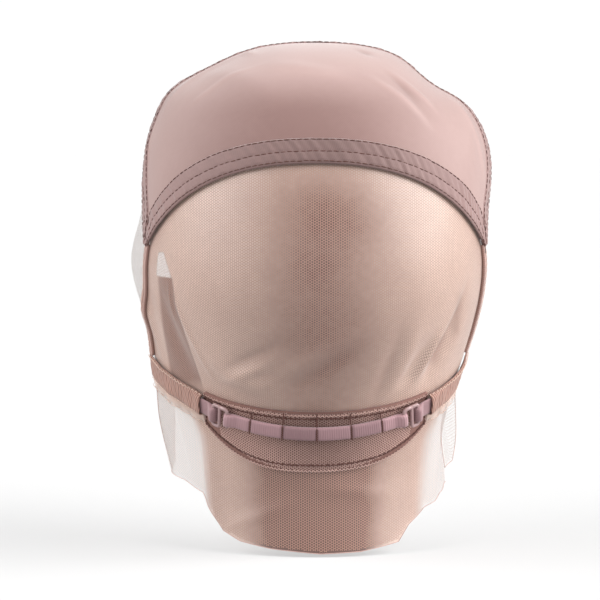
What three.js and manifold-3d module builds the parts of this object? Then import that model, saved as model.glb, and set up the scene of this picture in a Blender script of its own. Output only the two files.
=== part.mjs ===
// Wig cap: stretch panel over the crown, net at the back and front, hooks and strap at the nape.
// Millimetres, +Z up. The back of the cap faces -Y. The origin is the crown point of the hollow,
// so a drop is a distance straight down from it. An angle around the cap is 0 at the middle of
// the back and grows towards +X.

import * as THREE from 'three';
import { mergeVertices } from 'three/addons/utils/BufferGeometryUtils.js';
import Module from 'manifold-3d';

// Hollow that the cap is shaped on
const HEAD_BREADTH = 149.2;
const BACK_DEPTH = 97.2;
const FRONT_DEPTH = 94.5;
const HOLLOW_HEIGHT = 220;
const SKULL_POWER = 2.25;
const NECK_POWER = 2;
const SKULL_LOW_DROP = 98;
const NECK_TOP_DROP = 157;

// Cloth
const CLOTH_GAP = 0.3;
const LACE_THICKNESS = 1;
const PANEL_THICKNESS = 1;
const HEM_THICKNESS = 1.5;
const GUARD_THICKNESS = 1;
const CASING_WALL = 1;
const SEAM_THICKNESS = 1;

// Crown panel, which ends in a tip behind each ear
const TIP_ANGLE = 59.2;
const TIP_DROP = 85.5;
const TIP_ROUND = 2;
const REAR_EDGE_TILT = 34.7;
const FRONT_EDGE_TILT = 117.6;
const HEM_WIDTH = 10.7;
const LACE_LAP = 6;
const NET_SPREAD_ANGLE = 6;
const PANEL_SPREAD_ANGLE = 1;

// Side seam and the flap below it
const SEAM_WIDTH = 3.4;
const SEAM_END_ANGLE = 80;
const SEAM_END_DROP = 135.5;
const FLAP_ANGLE = 95;
const SKIRT_LENGTH = 60.5;

// Nape guard
const NAPE_DROP = 151.5;
const GUARD_HALF_ANGLE = 43;
const GUARD_HEIGHT = 25.2;
const GUARD_END_HEIGHT = 13.6;
const GUARD_TOP_RISE = 7;
const GUARD_POWER = 2.5;

// Strap, elastic and hooks
const STRAP_WIDTH = 6.3;
const STRAP_THICKNESS = 2.2;
const STRAP_INSET = 8.3;
const STRAP_RISE = 6.7;
const ELASTIC_WIDTH = 7.6;
const ELASTIC_THICKNESS = 1;
const ELASTIC_LENGTH = 16;
const LOOP_WALL = 1;
const LOOP_REACH = 4;
const LOOP_CROWN = 0.1;
const WIRE_WIDTH = 1.5;
const WIRE_DEPTH = 1.4;
const SLOT_WIDTH = 1.7;
const HOOK_MOUTH = 2.4;
const HOOK_CORNER = 1.2;
const HOOK_TOE = 0.9;
const HOOK_ANGLE = 34.5;
const FLANGE_WIDTH = 4.2;
const CASING_MOUTH_GAP = 0.5;
const RIBBON_RAMP = 7;
const HOOK_CALM = 9;

// Folds
const FOLD_HEIGHT = 5;

// Finishes
const NYLON_COLOUR = 0xcdb2ae;
const HEM_COLOUR = 0x9d7f7b;
const LACE_COLOUR = 0xb9967f;
const GUARD_COLOUR = 0x82615a;
const RIBBON_COLOUR = 0x9b7b7f;
const WIRE_COLOUR = 0x8a6d6f;

// Sections of the hollow: drop is a share of HOLLOW_HEIGHT, half of half the HEAD_BREADTH,
// back of BACK_DEPTH and front of FRONT_DEPTH.
const SECTIONS = [
  { drop: 0.000, half: 0.000, back: 0.000, front: 0.000 },
  { drop: 0.009, half: 0.308, back: 0.283, front: 0.309 },
  { drop: 0.023, half: 0.456, back: 0.425, front: 0.467 },
  { drop: 0.045, half: 0.587, back: 0.555, front: 0.601 },
  { drop: 0.077, half: 0.726, back: 0.681, front: 0.713 },
  { drop: 0.118, half: 0.851, back: 0.794, front: 0.811 },
  { drop: 0.168, half: 0.928, back: 0.885, front: 0.881 },
  { drop: 0.232, half: 0.968, back: 0.956, front: 0.932 },
  { drop: 0.309, half: 0.985, back: 0.994, front: 0.971 },
  { drop: 0.400, half: 1.000, back: 1.000, front: 1.000 },
  { drop: 0.468, half: 0.977, back: 0.976, front: 1.000 },
  { drop: 0.532, half: 0.939, back: 0.922, front: 0.985 },
  { drop: 0.591, half: 0.899, back: 0.845, front: 0.964 },
  { drop: 0.650, half: 0.862, back: 0.758, front: 0.943 },
  { drop: 0.705, half: 0.832, back: 0.687, front: 0.921 },
  { drop: 0.759, half: 0.800, back: 0.641, front: 0.900 },
  { drop: 0.818, half: 0.781, back: 0.618, front: 0.879 },
  { drop: 0.895, half: 0.767, back: 0.611, front: 0.858 },
  { drop: 1.000, half: 0.759, back: 0.622, front: 0.836 },
];

// Folds and dents: a ridge is centred at angle (degrees) and drop (share of HOLLOW_HEIGHT), reaches
// long and wide (shares of HEAD_BREADTH), leans from straight down towards +X (degrees), and stands
// out by height (share of FOLD_HEIGHT, negative where the cloth sinks).
const FOLDS = [
  { angle: -88, drop: 0.030, long: 0.30, wide: 0.07, lean: 90, height: -0.10 },
  { angle: -88, drop: 0.095, long: 0.36, wide: 0.07, lean: 90, height: 0.40 },
  { angle: 88, drop: 0.065, long: 0.36, wide: 0.09, lean: 90, height: -0.75 },
  { angle: 88, drop: 0.220, long: 0.36, wide: 0.12, lean: 90, height: 0.45 },
  { angle: -84, drop: 0.425, long: 0.12, wide: 0.10, lean: 0, height: 0.90 },
  { angle: -88, drop: 0.560, long: 0.12, wide: 0.12, lean: 0, height: 0.45 },
  { angle: -92, drop: 0.740, long: 0.21, wide: 0.18, lean: 0, height: 1.25 },
  { angle: 88, drop: 0.440, long: 0.22, wide: 0.16, lean: 0, height: -0.55 },
  { angle: 88, drop: 0.720, long: 0.21, wide: 0.15, lean: 0, height: -1.20 },
  { angle: 112, drop: 0.810, long: 0.20, wide: 0.09, lean: 0, height: 1.50 },
  { angle: -70, drop: 0.500, long: 0.13, wide: 0.030, lean: 8, height: 0.35 },
  { angle: -50, drop: 0.560, long: 0.15, wide: 0.045, lean: 14, height: -0.40 },
  { angle: 44, drop: 0.570, long: 0.11, wide: 0.035, lean: -22, height: -0.45 },
  { angle: 33, drop: 0.605, long: 0.10, wide: 0.035, lean: -24, height: -0.40 },
  { angle: 38, drop: 0.590, long: 0.10, wide: 0.025, lean: -24, height: 0.25 },
  { angle: -24, drop: 0.625, long: 0.11, wide: 0.045, lean: 62, height: 0.40 },
  { angle: -10, drop: 0.800, long: 0.16, wide: 0.040, lean: 84, height: 0.25 },
  { angle: -48, drop: 0.840, long: 0.13, wide: 0.035, lean: 4, height: 0.40 },
  { angle: 60, drop: 0.820, long: 0.13, wide: 0.035, lean: -6, height: 0.35 },
  { angle: -30, drop: 0.075, long: 0.20, wide: 0.05, lean: 60, height: 0.25 },
  { angle: 55, drop: 0.150, long: 0.22, wide: 0.05, lean: -30, height: 0.25 },
];

// Raw lower edge of the back net: angle as a share of FLAP_ANGLE, fall below NAPE_DROP as a share
// of SKIRT_LENGTH.
const SKIRT_EDGE = [
  { angle: -1.00, fall: 0.52 },
  { angle: -0.72, fall: 0.55 },
  { angle: -0.56, fall: 0.62 },
  { angle: -0.43, fall: 0.87 },
  { angle: -0.34, fall: 0.93 },
  { angle: -0.19, fall: 0.97 },
  { angle: 0.02, fall: 1.00 },
  { angle: 0.19, fall: 0.99 },
  { angle: 0.38, fall: 0.94 },
  { angle: 0.44, fall: 0.83 },
  { angle: 0.55, fall: 0.72 },
  { angle: 0.73, fall: 0.65 },
  { angle: 1.00, fall: 0.62 },
];

// Raw edge of the front net from an ear lobe to the middle of the forehead: angle as a share of the
// way from the flap to straight ahead, drop as a share of SEAM_END_DROP.
const FOREHEAD_EDGE = [
  { angle: 0.00, drop: 1.36 },
  { angle: 0.10, drop: 1.34 },
  { angle: 0.18, drop: 1.22 },
  { angle: 0.25, drop: 1.06 },
  { angle: 0.35, drop: 0.88 },
  { angle: 0.50, drop: 0.72 },
  { angle: 0.72, drop: 0.63 },
  { angle: 1.00, drop: 0.60 },
];

// Grid sizes, as faces along and across each piece
const PANEL_GRID = { columns: 32, rows: 12 };
const HEM_GRID = { columns: 36, rows: 2 };
const BACK_GRID = { columns: 40, rows: 24 };
const FRONT_GRID = { columns: 32, rows: 12 };
const GUARD_GRID = { columns: 26, rows: 5 };
const SEAM_GRID = { columns: 2, rows: 8 };
const CASING_STATIONS = 10;
const STRAP_STATIONS = 24;
const LOOP_STATIONS = 7;
const ELASTIC_STATIONS = 8;

const HALVINGS = 44;
const MERGE_DISTANCE = 1e-5;
const SLOPE_STEP = 1e-3;

// Heights of the layers above the hollow
const OVER_LACE = LACE_THICKNESS + CLOTH_GAP;
const OVER_GUARD = OVER_LACE + GUARD_THICKNESS + CLOTH_GAP;

const { degToRad, radToDeg, lerp, clamp, smoothstep } = THREE.MathUtils;
const library = await Module();
library.setup();

// Value of a column at a drop, on a smooth curve through the squares of its shares
function squareAt(drop, column) {
  const share = clamp(drop / HOLLOW_HEIGHT, 0, 1);
  const last = SECTIONS.length - 1;
  const above = SECTIONS.findLastIndex((row, index) => row.drop <= share && index < last);
  const slopeAt = (index) => {
    const before = SECTIONS[Math.max(index - 1, 0)];
    const after = SECTIONS[Math.min(index + 1, last)];
    return (after[column] ** 2 - before[column] ** 2) / (after.drop - before.drop);
  };
  const from = SECTIONS[above];
  const to = SECTIONS[above + 1];
  const span = to.drop - from.drop;
  const t = (share - from.drop) / span;
  const value = (2 * t ** 3 - 3 * t ** 2 + 1) * from[column] ** 2
    + (t ** 3 - 2 * t ** 2 + t) * span * slopeAt(above)
    + (3 * t ** 2 - 2 * t ** 3) * to[column] ** 2
    + (t ** 3 - t ** 2) * span * slopeAt(above + 1);
  return Math.max(value, 0);
}

// Half breadth, depth and squareness of the hollow at a drop
function sectionAt(drop, atBack) {
  const depth = atBack ? BACK_DEPTH : FRONT_DEPTH;
  return {
    half: Math.sqrt(squareAt(drop, 'half')) * HEAD_BREADTH / 2,
    depth: Math.sqrt(squareAt(drop, atBack ? 'back' : 'front')) * depth,
    power: lerp(SKULL_POWER, NECK_POWER, smoothstep(drop, SKULL_LOW_DROP, NECK_TOP_DROP)),
  };
}

// Radius of the superellipse section at an angle in radians
function radiusAt(angle, drop) {
  const { half, depth, power } = sectionAt(drop, Math.cos(angle) >= 0);
  const side = Math.abs(Math.sin(angle)) / half;
  const along = Math.abs(Math.cos(angle)) / depth;
  return (side ** power + along ** power) ** (-1 / power);
}

// Point of the hollow at an angle in degrees and a drop
function formPoint(degrees, drop) {
  const angle = degToRad(degrees);
  const radius = radiusAt(angle, drop);
  return new THREE.Vector3(radius * Math.sin(angle), -radius * Math.cos(angle), -drop);
}

function chartOf(point) {
  return { angle: radToDeg(Math.atan2(point.x, -point.y)), drop: -point.z };
}

// Outward normal: the gradient of distance from the axis less the section's radius
function formNormal(point) {
  const angle = Math.atan2(point.x, -point.y);
  const drop = Math.max(-point.z, 2 * SLOPE_STEP);
  const slope = (ahead, behind) => (ahead - behind) / (2 * SLOPE_STEP);
  const turn = slope(radiusAt(angle + SLOPE_STEP, drop), radiusAt(angle - SLOPE_STEP, drop));
  const fall = slope(radiusAt(angle, drop + SLOPE_STEP), radiusAt(angle, drop - SLOPE_STEP));
  const out = new THREE.Vector3(Math.sin(angle), -Math.cos(angle), 0);
  const around = new THREE.Vector3(Math.cos(angle), Math.sin(angle), 0);
  const normal = out.addScaledVector(around, -turn / radiusAt(angle, drop));
  normal.z = fall;
  return normal.normalize();
}

// Point of the hollow straight out from the axis at the drop that a nearby point has
function settle(point) {
  const { angle, drop } = chartOf(point);
  return formPoint(angle, drop);
}

// Line that the strap, the hooks, the elastic and the casing follow, as a drop at an angle: it keeps
// its slope past the hook and then bends to the end of the side seam
const HOOK_DROP = NAPE_DROP + STRAP_INSET - STRAP_RISE;
const HOOK_SLOPE = 2 * STRAP_RISE / HOOK_ANGLE;
const BAND_TURN = SEAM_END_ANGLE - HOOK_ANGLE;
const BAND_BEND = (HOOK_DROP - HOOK_SLOPE * BAND_TURN - SEAM_END_DROP) / BAND_TURN ** 2;

function bandDrop(degrees) {
  const away = Math.abs(degrees);
  if (away < HOOK_ANGLE) {
    return NAPE_DROP + STRAP_INSET - STRAP_RISE * (away / HOOK_ANGLE) ** 2;
  }
  const past = away - HOOK_ANGLE;
  return HOOK_DROP - HOOK_SLOPE * past - BAND_BEND * past ** 2;
}

const bandPoint = (degrees) => formPoint(degrees, bandDrop(degrees));
const hookSeats = [-HOOK_ANGLE, HOOK_ANGLE].map(bandPoint);

// Each fold's centre and the direction of its length
const ridges = FOLDS.map((row) => {
  const centre = formPoint(row.angle, row.drop * HOLLOW_HEIGHT);
  const normal = formNormal(centre);
  const angle = degToRad(row.angle);
  const across = new THREE.Vector3(Math.cos(angle), Math.sin(angle), 0);
  const down = new THREE.Vector3().crossVectors(across, normal).normalize();
  const lean = degToRad(row.lean);
  const direction = down.multiplyScalar(Math.cos(lean)).addScaledVector(across, Math.sin(lean));
  return {
    centre,
    direction: direction.normalize(),
    long: row.long * HEAD_BREADTH,
    wide: row.wide * HEAD_BREADTH,
    height: row.height * FOLD_HEIGHT,
  };
});

// Height of all folds at a point: each is a bell of the distances along and across it, and the
// cloth lies flat under the hooks
function foldAt(point) {
  const away = Math.min(...hookSeats.map((seat) => seat.distanceTo(point)));
  const left = smoothstep(away, HOOK_CALM, 2 * HOOK_CALM);
  return left * ridges.reduce((total, ridge) => {
    const reach = point.clone().sub(ridge.centre);
    const along = reach.dot(ridge.direction);
    const across = reach.lengthSq() - along ** 2;
    const bell = Math.exp(-((along / ridge.long) ** 2) - across / ridge.wide ** 2);
    return total + ridge.height * bell;
  }, 0);
}

// Point at a height above the hollow, carried by the folds
function lifted(point, height) {
  return point.clone().addScaledVector(formNormal(point), height + foldAt(point));
}

// The panel's planes all pass through the line from ear tip to ear tip
const tipPoint = formPoint(TIP_ANGLE, TIP_DROP);
const panelCentre = new THREE.Vector3(0, tipPoint.y, tipPoint.z);
const MIDDLE_TILT = (REAR_EDGE_TILT + FRONT_EDGE_TILT) / 2;

function isInside(point) {
  const drop = -point.z;
  if (drop <= 0) return false;
  const { half, depth, power } = sectionAt(drop, point.y <= 0);
  return (Math.abs(point.x) / half) ** power + (Math.abs(point.y) / depth) ** power < 1;
}

// Point of the hollow that a ray from the panel's centre meets, by halving
function rayPoint(direction) {
  let near = 0;
  let far = HEAD_BREADTH + HOLLOW_HEIGHT;
  for (let step = 0; step < HALVINGS; step += 1) {
    const middle = (near + far) / 2;
    if (isInside(panelCentre.clone().addScaledVector(direction, middle))) near = middle;
    else far = middle;
  }
  return panelCentre.clone().addScaledVector(direction, near);
}

// Point at a sweep from the middle to an ear tip and a tilt from straight back over the crown
function crownPoint(sweep, tilt) {
  const side = degToRad(sweep);
  const rise = degToRad(tilt);
  const direction = new THREE.Vector3(
    Math.sin(side),
    -Math.cos(side) * Math.cos(rise),
    Math.cos(side) * Math.sin(rise),
  );
  return rayPoint(direction);
}

function distanceFromTipLine(point) {
  return Math.hypot(point.y - panelCentre.y, point.z - panelCentre.z);
}

// Sweep at which the surface comes within a distance of the line of the tips
function sweepNear(distance) {
  let low = 0;
  let high = 90;
  for (let step = 0; step < HALVINGS; step += 1) {
    const middle = (low + high) / 2;
    if (distanceFromTipLine(crownPoint(middle, MIDDLE_TILT)) > distance) low = middle;
    else high = middle;
  }
  return low;
}

// Tilt that lies a width away from an edge, or at the middle of the panel where that comes first
function tiltBeyond(sweep, edgeTilt, width, spare) {
  const radius = distanceFromTipLine(crownPoint(sweep, edgeTilt));
  const limit = Math.abs(MIDDLE_TILT - edgeTilt) - spare;
  const turn = Math.min(radToDeg(width / radius), limit);
  return edgeTilt + Math.sign(MIDDLE_TILT - edgeTilt) * turn;
}

// Mesh with its faces turned outwards
function solidGeometry(points, indices) {
  const positions = points.flatMap((point) => point.toArray());
  let volume = 0;
  for (let face = 0; face < indices.length; face += 3) {
    const [a, b, c] = [0, 1, 2].map((corner) => points[indices[face + corner]]);
    volume += a.dot(new THREE.Vector3().crossVectors(b, c));
  }
  if (volume < 0) indices.reverse();
  const geometry = new THREE.BufferGeometry();
  geometry.setAttribute('position', new THREE.Float32BufferAttribute(positions, 3));
  geometry.setIndex(indices);
  return geometry;
}

// Closed wall between two heights above the hollow, over a grid of two shares
function wall(grid, inner, outer, at) {
  const { columns, rows } = grid;
  const points = [];
  for (const height of [outer, inner]) {
    for (let row = 0; row <= rows; row += 1) {
      for (let column = 0; column <= columns; column += 1) {
        points.push(lifted(at(column / columns, row / rows), height));
      }
    }
  }
  const wide = columns + 1;
  const under = wide * (rows + 1);
  const indices = [];
  const quad = (a, b, c, d) => indices.push(a, b, c, a, c, d);
  for (let row = 0; row < rows; row += 1) {
    for (let column = 0; column < columns; column += 1) {
      const a = row * wide + column;
      const d = a + wide;
      quad(a, a + 1, d + 1, d);
      quad(a + under, d + under, d + 1 + under, a + 1 + under);
    }
    const left = row * wide;
    const right = left + columns;
    quad(left, left + wide, left + wide + under, left + under);
    quad(right + wide, right, right + under, right + wide + under);
  }
  for (let column = 0; column < columns; column += 1) {
    const low = rows * wide + column;
    quad(column + 1, column, column + under, column + 1 + under);
    quad(low, low + 1, low + 1 + under, low + under);
  }
  return solidGeometry(points, indices);
}

// Closed body through rings of points, all with the outline of the first
function loft(rings, outline) {
  const count = outline.length;
  const indices = [];
  for (let ring = 0; ring + 1 < rings.length; ring += 1) {
    for (let corner = 0; corner < count; corner += 1) {
      const a = ring * count + corner;
      const b = ring * count + (corner + 1) % count;
      indices.push(a, b, b + count, a, b + count, a + count);
    }
  }
  const last = (rings.length - 1) * count;
  const flat = outline.map(([x, y]) => new THREE.Vector2(x, y));
  const facesBack = THREE.ShapeUtils.area(flat) > 0;
  for (const [a, b, c] of THREE.ShapeUtils.triangulateShape(flat, [])) {
    const turned = facesBack ? [c, b, a] : [a, b, c];
    indices.push(...turned);
    indices.push(...turned.toReversed().map((corner) => corner + last));
  }
  return solidGeometry(rings.flat(), indices);
}

function manifoldOf(geometry) {
  const bare = geometry.clone();
  bare.deleteAttribute('normal');
  bare.deleteAttribute('uv');
  const merged = mergeVertices(bare, MERGE_DISTANCE);
  return new library.Manifold(new library.Mesh({
    numProp: 3,
    vertProperties: new Float32Array(merged.attributes.position.array),
    triVerts: new Uint32Array(merged.index.array),
  }));
}

// What is left of one closed body when another is cut out of it
function cut(geometry, tool) {
  const mesh = manifoldOf(geometry).subtract(manifoldOf(tool)).getMesh();
  const result = new THREE.BufferGeometry();
  result.setAttribute('position', new THREE.BufferAttribute(mesh.vertProperties, 3));
  result.setIndex(new THREE.BufferAttribute(mesh.triVerts, 1));
  return result;
}

// Place at a share of the length of a line of places
function placeAlong(places, share) {
  const points = places.map((place) => formPoint(place.angle, place.drop));
  const lengths = points.slice(1).map((point, index) => point.distanceTo(points[index]));
  let left = share * lengths.reduce((total, length) => total + length, 0);
  let step = 0;
  while (step < lengths.length - 1 && left > lengths[step]) {
    left -= lengths[step];
    step += 1;
  }
  const t = Math.min(left / lengths[step], 1);
  return {
    angle: lerp(places[step].angle, places[step + 1].angle, t),
    drop: lerp(places[step].drop, places[step + 1].drop, t),
  };
}

const DEGREE_LENGTH = bandPoint(HOOK_ANGLE + 0.5).distanceTo(bandPoint(HOOK_ANGLE - 0.5));

// Axes at a place on the band's line: along it towards +X, up across it, and out
function bandFrame(degrees) {
  const out = formNormal(bandPoint(degrees));
  const along = bandPoint(degrees + 0.5).sub(bandPoint(degrees - 0.5));
  along.addScaledVector(out, -along.dot(out)).normalize();
  const up = new THREE.Vector3().crossVectors(out, along);
  return { along, up, out };
}

// Point at a distance up from the band's line, at a height above the hollow
function bandAt(degrees, up, height) {
  const point = bandPoint(degrees).addScaledVector(bandFrame(degrees).up, up);
  return lifted(settle(point), height);
}

// Clear room in the loops for the hook's wire
const HOLE_WIDTH = WIRE_WIDTH + 2 * CLOTH_GAP;
const HOLE_DEPTH = WIRE_DEPTH + 2 * CLOTH_GAP;
const LOOP_THICKNESS = HOLE_DEPTH + 2 * LOOP_WALL + LOOP_CROWN;
const HOLE_INSET = LOOP_WALL + HOLE_WIDTH / 2;
const ARM_PLACE = WIRE_WIDTH + HOOK_MOUTH;
const BAR_PLACE = WIRE_WIDTH + SLOT_WIDTH;
const STRAP_END_ANGLE = HOOK_ANGLE - (ARM_PLACE - HOLE_INSET) / DEGREE_LENGTH;
const ELASTIC_END_ANGLE = HOOK_ANGLE + (BAR_PLACE - HOLE_INSET) / DEGREE_LENGTH;
const ELASTIC_FAR_ANGLE = ELASTIC_END_ANGLE + ELASTIC_LENGTH / DEGREE_LENGTH;
const CASING_NAPE_ANGLE = GUARD_HALF_ANGLE + CASING_MOUTH_GAP / DEGREE_LENGTH;

// Turn of the guard's end for each millimetre of drop, square to the band's line
const GUARD_SLOPE = HOOK_SLOPE + 2 * BAND_BEND * (GUARD_HALF_ANGLE - HOOK_ANGLE);
const GUARD_SLANT = GUARD_SLOPE / DEGREE_LENGTH ** 2;

// Height of the ribbon's underside: over the guard, then down onto the net inside the casing
function bandHeight(degrees) {
  const past = (Math.abs(degrees) - GUARD_HALF_ANGLE) * DEGREE_LENGTH;
  return lerp(OVER_GUARD, OVER_LACE, smoothstep(past, CASING_MOUTH_GAP + CLOTH_GAP, RIBBON_RAMP));
}

// Thickness of a ribbon at a distance from its looped end, swollen round the hole
function loopThickness(distance, ribbon) {
  const away = Math.min(Math.abs(distance - HOLE_INSET) / LOOP_REACH, 1);
  return lerp(ribbon, LOOP_THICKNESS, (1 + Math.cos(Math.PI * away)) / 2);
}

// Distances from a looped end that need a section of their own
function loopDistances() {
  const reach = HOLE_INSET + LOOP_REACH;
  return Array.from({ length: LOOP_STATIONS }, (_, index) => reach * index / LOOP_STATIONS);
}

// Body of a flat ribbon through places with a height and a thickness
function ribbon(places, width) {
  const outline = [[-width / 2, 0], [width / 2, 0], [width / 2, 1], [-width / 2, 1]];
  const rings = places.map((place) => outline.map(([up, top]) => (
    bandAt(place.angle, up, place.height + top * place.thickness)
  )));
  return loft(rings, outline);
}

// Seat of a hook: x along the band towards +X, y up across it, z out, the middle bar at x = 0
function hookMatrix(side) {
  const { along, up, out } = bandFrame(side * HOOK_ANGLE);
  const centre = bandAt(side * HOOK_ANGLE, 0, OVER_GUARD + LOOP_WALL + HOLE_DEPTH / 2);
  return new THREE.Matrix4().makeBasis(along, up, out).setPosition(centre);
}

// Straight prism across a ribbon where the hook's wire passes through it, a reach from the bar
function loopHole(side, reach) {
  const box = new THREE.BoxGeometry(HOLE_WIDTH, STRAP_WIDTH + ELASTIC_WIDTH, HOLE_DEPTH);
  return box.translate(side * reach, 0, 0).applyMatrix4(hookMatrix(side));
}

function crownPanel() {
  const endSweep = sweepNear(HEM_WIDTH + CLOTH_GAP + TIP_ROUND);
  return wall(PANEL_GRID, OVER_LACE, OVER_LACE + PANEL_THICKNESS, (across, over) => {
    const sweep = lerp(-endSweep, endSweep, across);
    const rear = tiltBeyond(sweep, REAR_EDGE_TILT, HEM_WIDTH + CLOTH_GAP, PANEL_SPREAD_ANGLE);
    const front = tiltBeyond(sweep, FRONT_EDGE_TILT, HEM_WIDTH + CLOTH_GAP, PANEL_SPREAD_ANGLE);
    return crownPoint(sweep, lerp(rear, front, over));
  });
}

function hem(edgeTilt) {
  const endSweep = sweepNear(TIP_ROUND);
  return wall(HEM_GRID, OVER_LACE, OVER_LACE + HEM_THICKNESS, (across, over) => {
    const sweep = lerp(-endSweep, endSweep, across);
    const spare = radToDeg(CLOTH_GAP / TIP_ROUND) / 2;
    const inner = tiltBeyond(sweep, edgeTilt, HEM_WIDTH, spare);
    return crownPoint(sweep, lerp(edgeTilt, inner, over));
  });
}

// Edge of a net under a hem, laid a lap in from the hem's own edge
function lapPoint(across, edgeTilt) {
  const endSweep = sweepNear(TIP_ROUND);
  const sweep = lerp(-endSweep, endSweep, across);
  return crownPoint(sweep, tiltBeyond(sweep, edgeTilt, LACE_LAP, NET_SPREAD_ANGLE));
}

// Line where the two nets meet, from an ear tip to the casing's end and the flap's corner
const flapDrop = NAPE_DROP + SKIRT_LENGTH * SKIRT_EDGE[0].fall;
const EAR_LINE = [
  { angle: TIP_ANGLE, drop: TIP_DROP },
  { angle: SEAM_END_ANGLE, drop: SEAM_END_DROP },
  { angle: FLAP_ANGLE, drop: flapDrop },
];

// How far the line of the ear stands off a straight one, as a place at a share of its length
function earBow(share) {
  const first = EAR_LINE[0];
  const last = EAR_LINE[EAR_LINE.length - 1];
  const place = placeAlong(EAR_LINE, share);
  return {
    angle: place.angle - lerp(first.angle, last.angle, share),
    drop: place.drop - lerp(first.drop, last.drop, share),
  };
}

// Back net: straight lines from the hem to the raw edge, bowed along the ear at each side
function backLace() {
  const edge = SKIRT_EDGE.map((row) => ({
    angle: row.angle * FLAP_ANGLE,
    drop: NAPE_DROP + row.fall * SKIRT_LENGTH,
  }));
  return wall(BACK_GRID, 0, LACE_THICKNESS, (across, down) => {
    const top = chartOf(lapPoint(across, REAR_EDGE_TILT));
    const foot = placeAlong(edge, across);
    const bow = earBow(down);
    return formPoint(
      lerp(top.angle, foot.angle, down) + bow.angle * (2 * across - 1),
      lerp(top.drop, foot.drop, down) + bow.drop * Math.abs(2 * across - 1),
    );
  });
}

// Front net: the same on the other side of the ear line, settled on the hollow from its centre
function frontLace() {
  const seamTurn = radToDeg(2 * CLOTH_GAP / (HEAD_BREADTH / 2));
  const lobe = FLAP_ANGLE + seamTurn;
  const half = FOREHEAD_EDGE.map((row) => ({
    angle: lerp(lobe, 180, row.angle),
    drop: row.drop * SEAM_END_DROP,
  }));
  const mirrored = half.map((place) => ({ angle: 360 - place.angle, drop: place.drop }));
  const edge = [...half, ...mirrored.toReversed().slice(1)];
  return wall(FRONT_GRID, 0, LACE_THICKNESS, (across, down) => {
    const top = lapPoint(1 - across, FRONT_EDGE_TILT);
    const foot = placeAlong(edge, across);
    const point = top.lerp(formPoint(foot.angle, foot.drop), down);
    const side = across < 0.5 ? 1 : -1;
    const weight = Math.abs(1 - 2 * across);
    const start = formPoint(side * TIP_ANGLE, TIP_DROP);
    const end = formPoint(side * lobe, half[0].drop);
    const ear = placeAlong(EAR_LINE, down);
    const bent = formPoint(side * (ear.angle + seamTurn), ear.drop);
    const bow = bent.sub(start.lerp(end, down)).multiplyScalar(weight ** 2);
    return rayPoint(point.add(bow).sub(panelCentre).normalize());
  });
}

function napeGuard() {
  return wall(GUARD_GRID, OVER_LACE, OVER_LACE + GUARD_THICKNESS, (across, down) => {
    const share = 2 * across - 1;
    const top = NAPE_DROP - GUARD_TOP_RISE * share ** 2;
    const belly = (GUARD_HEIGHT + GUARD_TOP_RISE - GUARD_END_HEIGHT) * Math.abs(share) ** GUARD_POWER;
    const drop = lerp(top, NAPE_DROP + GUARD_HEIGHT - belly, down);
    const slant = GUARD_SLANT * (drop - bandDrop(GUARD_HALF_ANGLE));
    return formPoint(share * (GUARD_HALF_ANGLE + slant), drop);
  });
}

// Half width of the casing's channel
const CHANNEL_HALF = ELASTIC_WIDTH / 2 + CLOTH_GAP;

// Room over the ribbon's underside in the casing, which lies flat past the elastic's end
function channelRoom(degrees) {
  const past = (degrees - ELASTIC_FAR_ANGLE) * DEGREE_LENGTH;
  return CLOTH_GAP + ELASTIC_THICKNESS * (1 - smoothstep(past, CLOTH_GAP, RIBBON_RAMP));
}

// Channel over the elastic, open towards the head, with a flange below it
function casing(side) {
  const edge = CHANNEL_HALF + CASING_WALL;
  const outlineAt = (angle) => {
    const roof = bandHeight(angle) + channelRoom(angle);
    return [
      [-edge - FLANGE_WIDTH, OVER_LACE],
      [-CHANNEL_HALF, OVER_LACE],
      [-CHANNEL_HALF, roof],
      [CHANNEL_HALF, roof],
      [CHANNEL_HALF, OVER_LACE],
      [edge, OVER_LACE],
      [edge, roof + CASING_WALL],
      [-edge, roof + CASING_WALL],
      [-edge, OVER_LACE + CASING_WALL],
      [-edge - FLANGE_WIDTH, OVER_LACE + CASING_WALL],
    ];
  };
  const rings = Array.from({ length: CASING_STATIONS + 1 }, (_, index) => {
    const angle = lerp(CASING_NAPE_ANGLE, SEAM_END_ANGLE, index / CASING_STATIONS);
    return outlineAt(angle).map(([up, height]) => bandAt(side * angle, up, height));
  });
  return loft(rings, outlineAt(CASING_NAPE_ANGLE));
}

// Seam strip from just below the ear tip to just above the casing
function sideSeam(side) {
  const length = formPoint(TIP_ANGLE, TIP_DROP).distanceTo(formPoint(SEAM_END_ANGLE, SEAM_END_DROP));
  const start = (TIP_ROUND + CLOTH_GAP) / length;
  const end = 1 - (CHANNEL_HALF + CASING_WALL + CLOTH_GAP + SEAM_WIDTH / 2) / length;
  return wall(SEAM_GRID, OVER_LACE, OVER_LACE + SEAM_THICKNESS, (across, down) => {
    const share = lerp(start, end, down);
    const middle = formPoint(
      side * lerp(TIP_ANGLE, SEAM_END_ANGLE, share),
      lerp(TIP_DROP, SEAM_END_DROP, share),
    );
    const angle = degToRad(chartOf(middle).angle);
    const around = new THREE.Vector3(Math.cos(angle), Math.sin(angle), 0);
    return settle(middle.addScaledVector(around, (across - 0.5) * SEAM_WIDTH));
  });
}

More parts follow.
